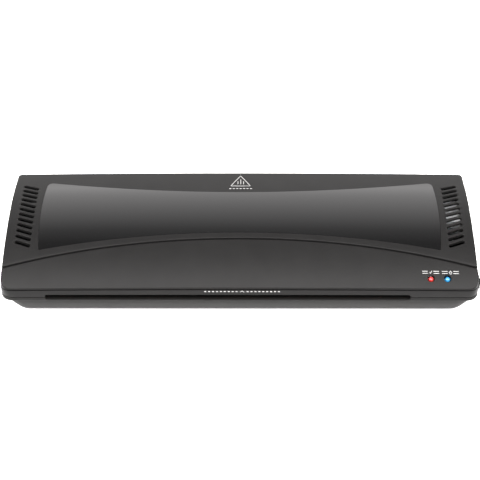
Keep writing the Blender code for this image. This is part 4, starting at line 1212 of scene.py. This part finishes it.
def feed_marks():
    """A row of dashes either side of an arrow that points into the machine."""
    middle, z = 2.6, 31.7
    dashes = []
    for side in (-1, 1):
        for i in range(9):
            x = middle + side * (5.0 + 3.55 * i)
            dashes.append(bar(x - 0.85, x + 0.85, z, 0.45, on_bezel))
    printed("feed_dashes", dashes)
    arrow = [(middle - 1.9, z - 0.75), (middle, z + 0.75), (middle + 1.9, z - 0.75)]
    printed("feed_arrow", [stroke(arrow, 0.24, on_bezel)])


# ---------------------------------------------------------------- stage


CAMERA_PLACE = (8.4, -907.9, 725.5)
CAMERA_DROP = math.radians(37.14)
CAMERA_HEADING = math.radians(0.51)
CAMERA_ROLL = math.radians(-0.28)
# Angle over the top from behind the machine to the front, in degrees, and the light from there
SKY = (
    (0, 0.5),
    (30, 2.3),
    (43, 4.1),
    (50, 3.2),
    (58, 2.5),
    (67, 1.65),
    (76, 0.72),
    (84, 0.3),
    (94, 0.24),
    (102, 1.2),
    (110, 13.5),
    (122, 12.0),
    (134, 3.5),
    (155, 1.4),
    (180, 0.8),
)
SKY_TOP = 13.5


def sky():
    """Soft boxes as one smooth wash of light: bright behind, dark overhead, bright in front."""
    world = bpy.data.worlds.new("studio")
    bpy.context.scene.world = world
    world.use_nodes = True
    nodes, links = world.node_tree.nodes, world.node_tree.links
    background = nodes["Background"]
    place = nodes.new("ShaderNodeTexCoord")
    split = nodes.new("ShaderNodeSeparateXYZ")
    links.new(place.outputs["Generated"], split.inputs["Vector"])
    angle = nodes.new("ShaderNodeMath")
    angle.operation = "ARCTAN2"
    links.new(split.outputs["Z"], angle.inputs[0])
    links.new(split.outputs["Y"], angle.inputs[1])
    share = nodes.new("ShaderNodeMath")
    share.operation = "DIVIDE"
    share.inputs[1].default_value = math.pi
    links.new(angle.outputs["Value"], share.inputs[0])
    curve = nodes.new("ShaderNodeValToRGB")
    elements = curve.color_ramp.elements
    elements.remove(elements[1])
    for i, (degrees, light) in enumerate(SKY):
        element = elements.new(degrees / 180) if i else elements[0]
        element.position = degrees / 180
        element.color = (light / SKY_TOP,) * 3 + (1.0,)
    links.new(share.outputs["Value"], curve.inputs["Fac"])
    strength = nodes.new("ShaderNodeMath")
    strength.operation = "MULTIPLY"
    strength.inputs[1].default_value = SKY_TOP
    links.new(curve.outputs["Color"], strength.inputs[0])
    background.inputs["Color"].default_value = (1.0, 0.98, 0.975, 1.0)
    # Seen directly, the surroundings are as plain as the floor
    seen = nodes.new("ShaderNodeLightPath")
    plain = nodes.new("ShaderNodeMix")
    links.new(seen.outputs["Is Camera Ray"], plain.inputs["Factor"])
    links.new(strength.outputs["Value"], plain.inputs["A"])
    plain.inputs["B"].default_value = 1.1
    links.new(plain.outputs["Result"], background.inputs["Strength"])


def floor():
    half = 6000.0
    points = [(-half, -half, 0), (half, -half, 0), (half, half, 0), (-half, half, 0)]
    mesh = bpy.data.meshes.new("floor")
    mesh.from_pydata([Vector(p) * MM for p in points], [], [(0, 1, 2, 3)])
    obj = bpy.data.objects.new("floor", mesh)
    bpy.context.scene.collection.objects.link(obj)
    made = Finish("floor", (0.88, 0.88, 0.88), 0.9, specular=0.1)
    made.tint(made.noise(3.0), (0.87, 0.87, 0.87), (0.89, 0.89, 0.89))
    made.put("Emission Color", (1.0, 1.0, 1.0, 1.0))
    made.put("Emission Strength", 0.55)
    mesh.materials.append(made.material)


def camera():
    data = bpy.data.cameras.new("camera")
    data.lens = 90.0
    data.sensor_width = 36.0
    obj = bpy.data.objects.new("camera", data)
    bpy.context.scene.collection.objects.link(obj)
    obj.location = Vector(CAMERA_PLACE) * MM
    ahead = Vector(
        (
            -math.sin(CAMERA_HEADING) * math.cos(CAMERA_DROP),
            math.cos(CAMERA_HEADING) * math.cos(CAMERA_DROP),
            -math.sin(CAMERA_DROP),
        )
    )
    level = ahead.to_track_quat("-Z", "Y").to_matrix()
    obj.rotation_euler = (level @ Matrix.Rotation(CAMERA_ROLL, 3, "Z")).to_euler()
    bpy.context.scene.camera = obj


finish_cad_nodes()
compress_springs()
casing()
lamp_marks()
heat_marks()
feed_marks()
sky()
floor()
camera()
bpy.context.scene.view_settings.view_transform = "Standard"
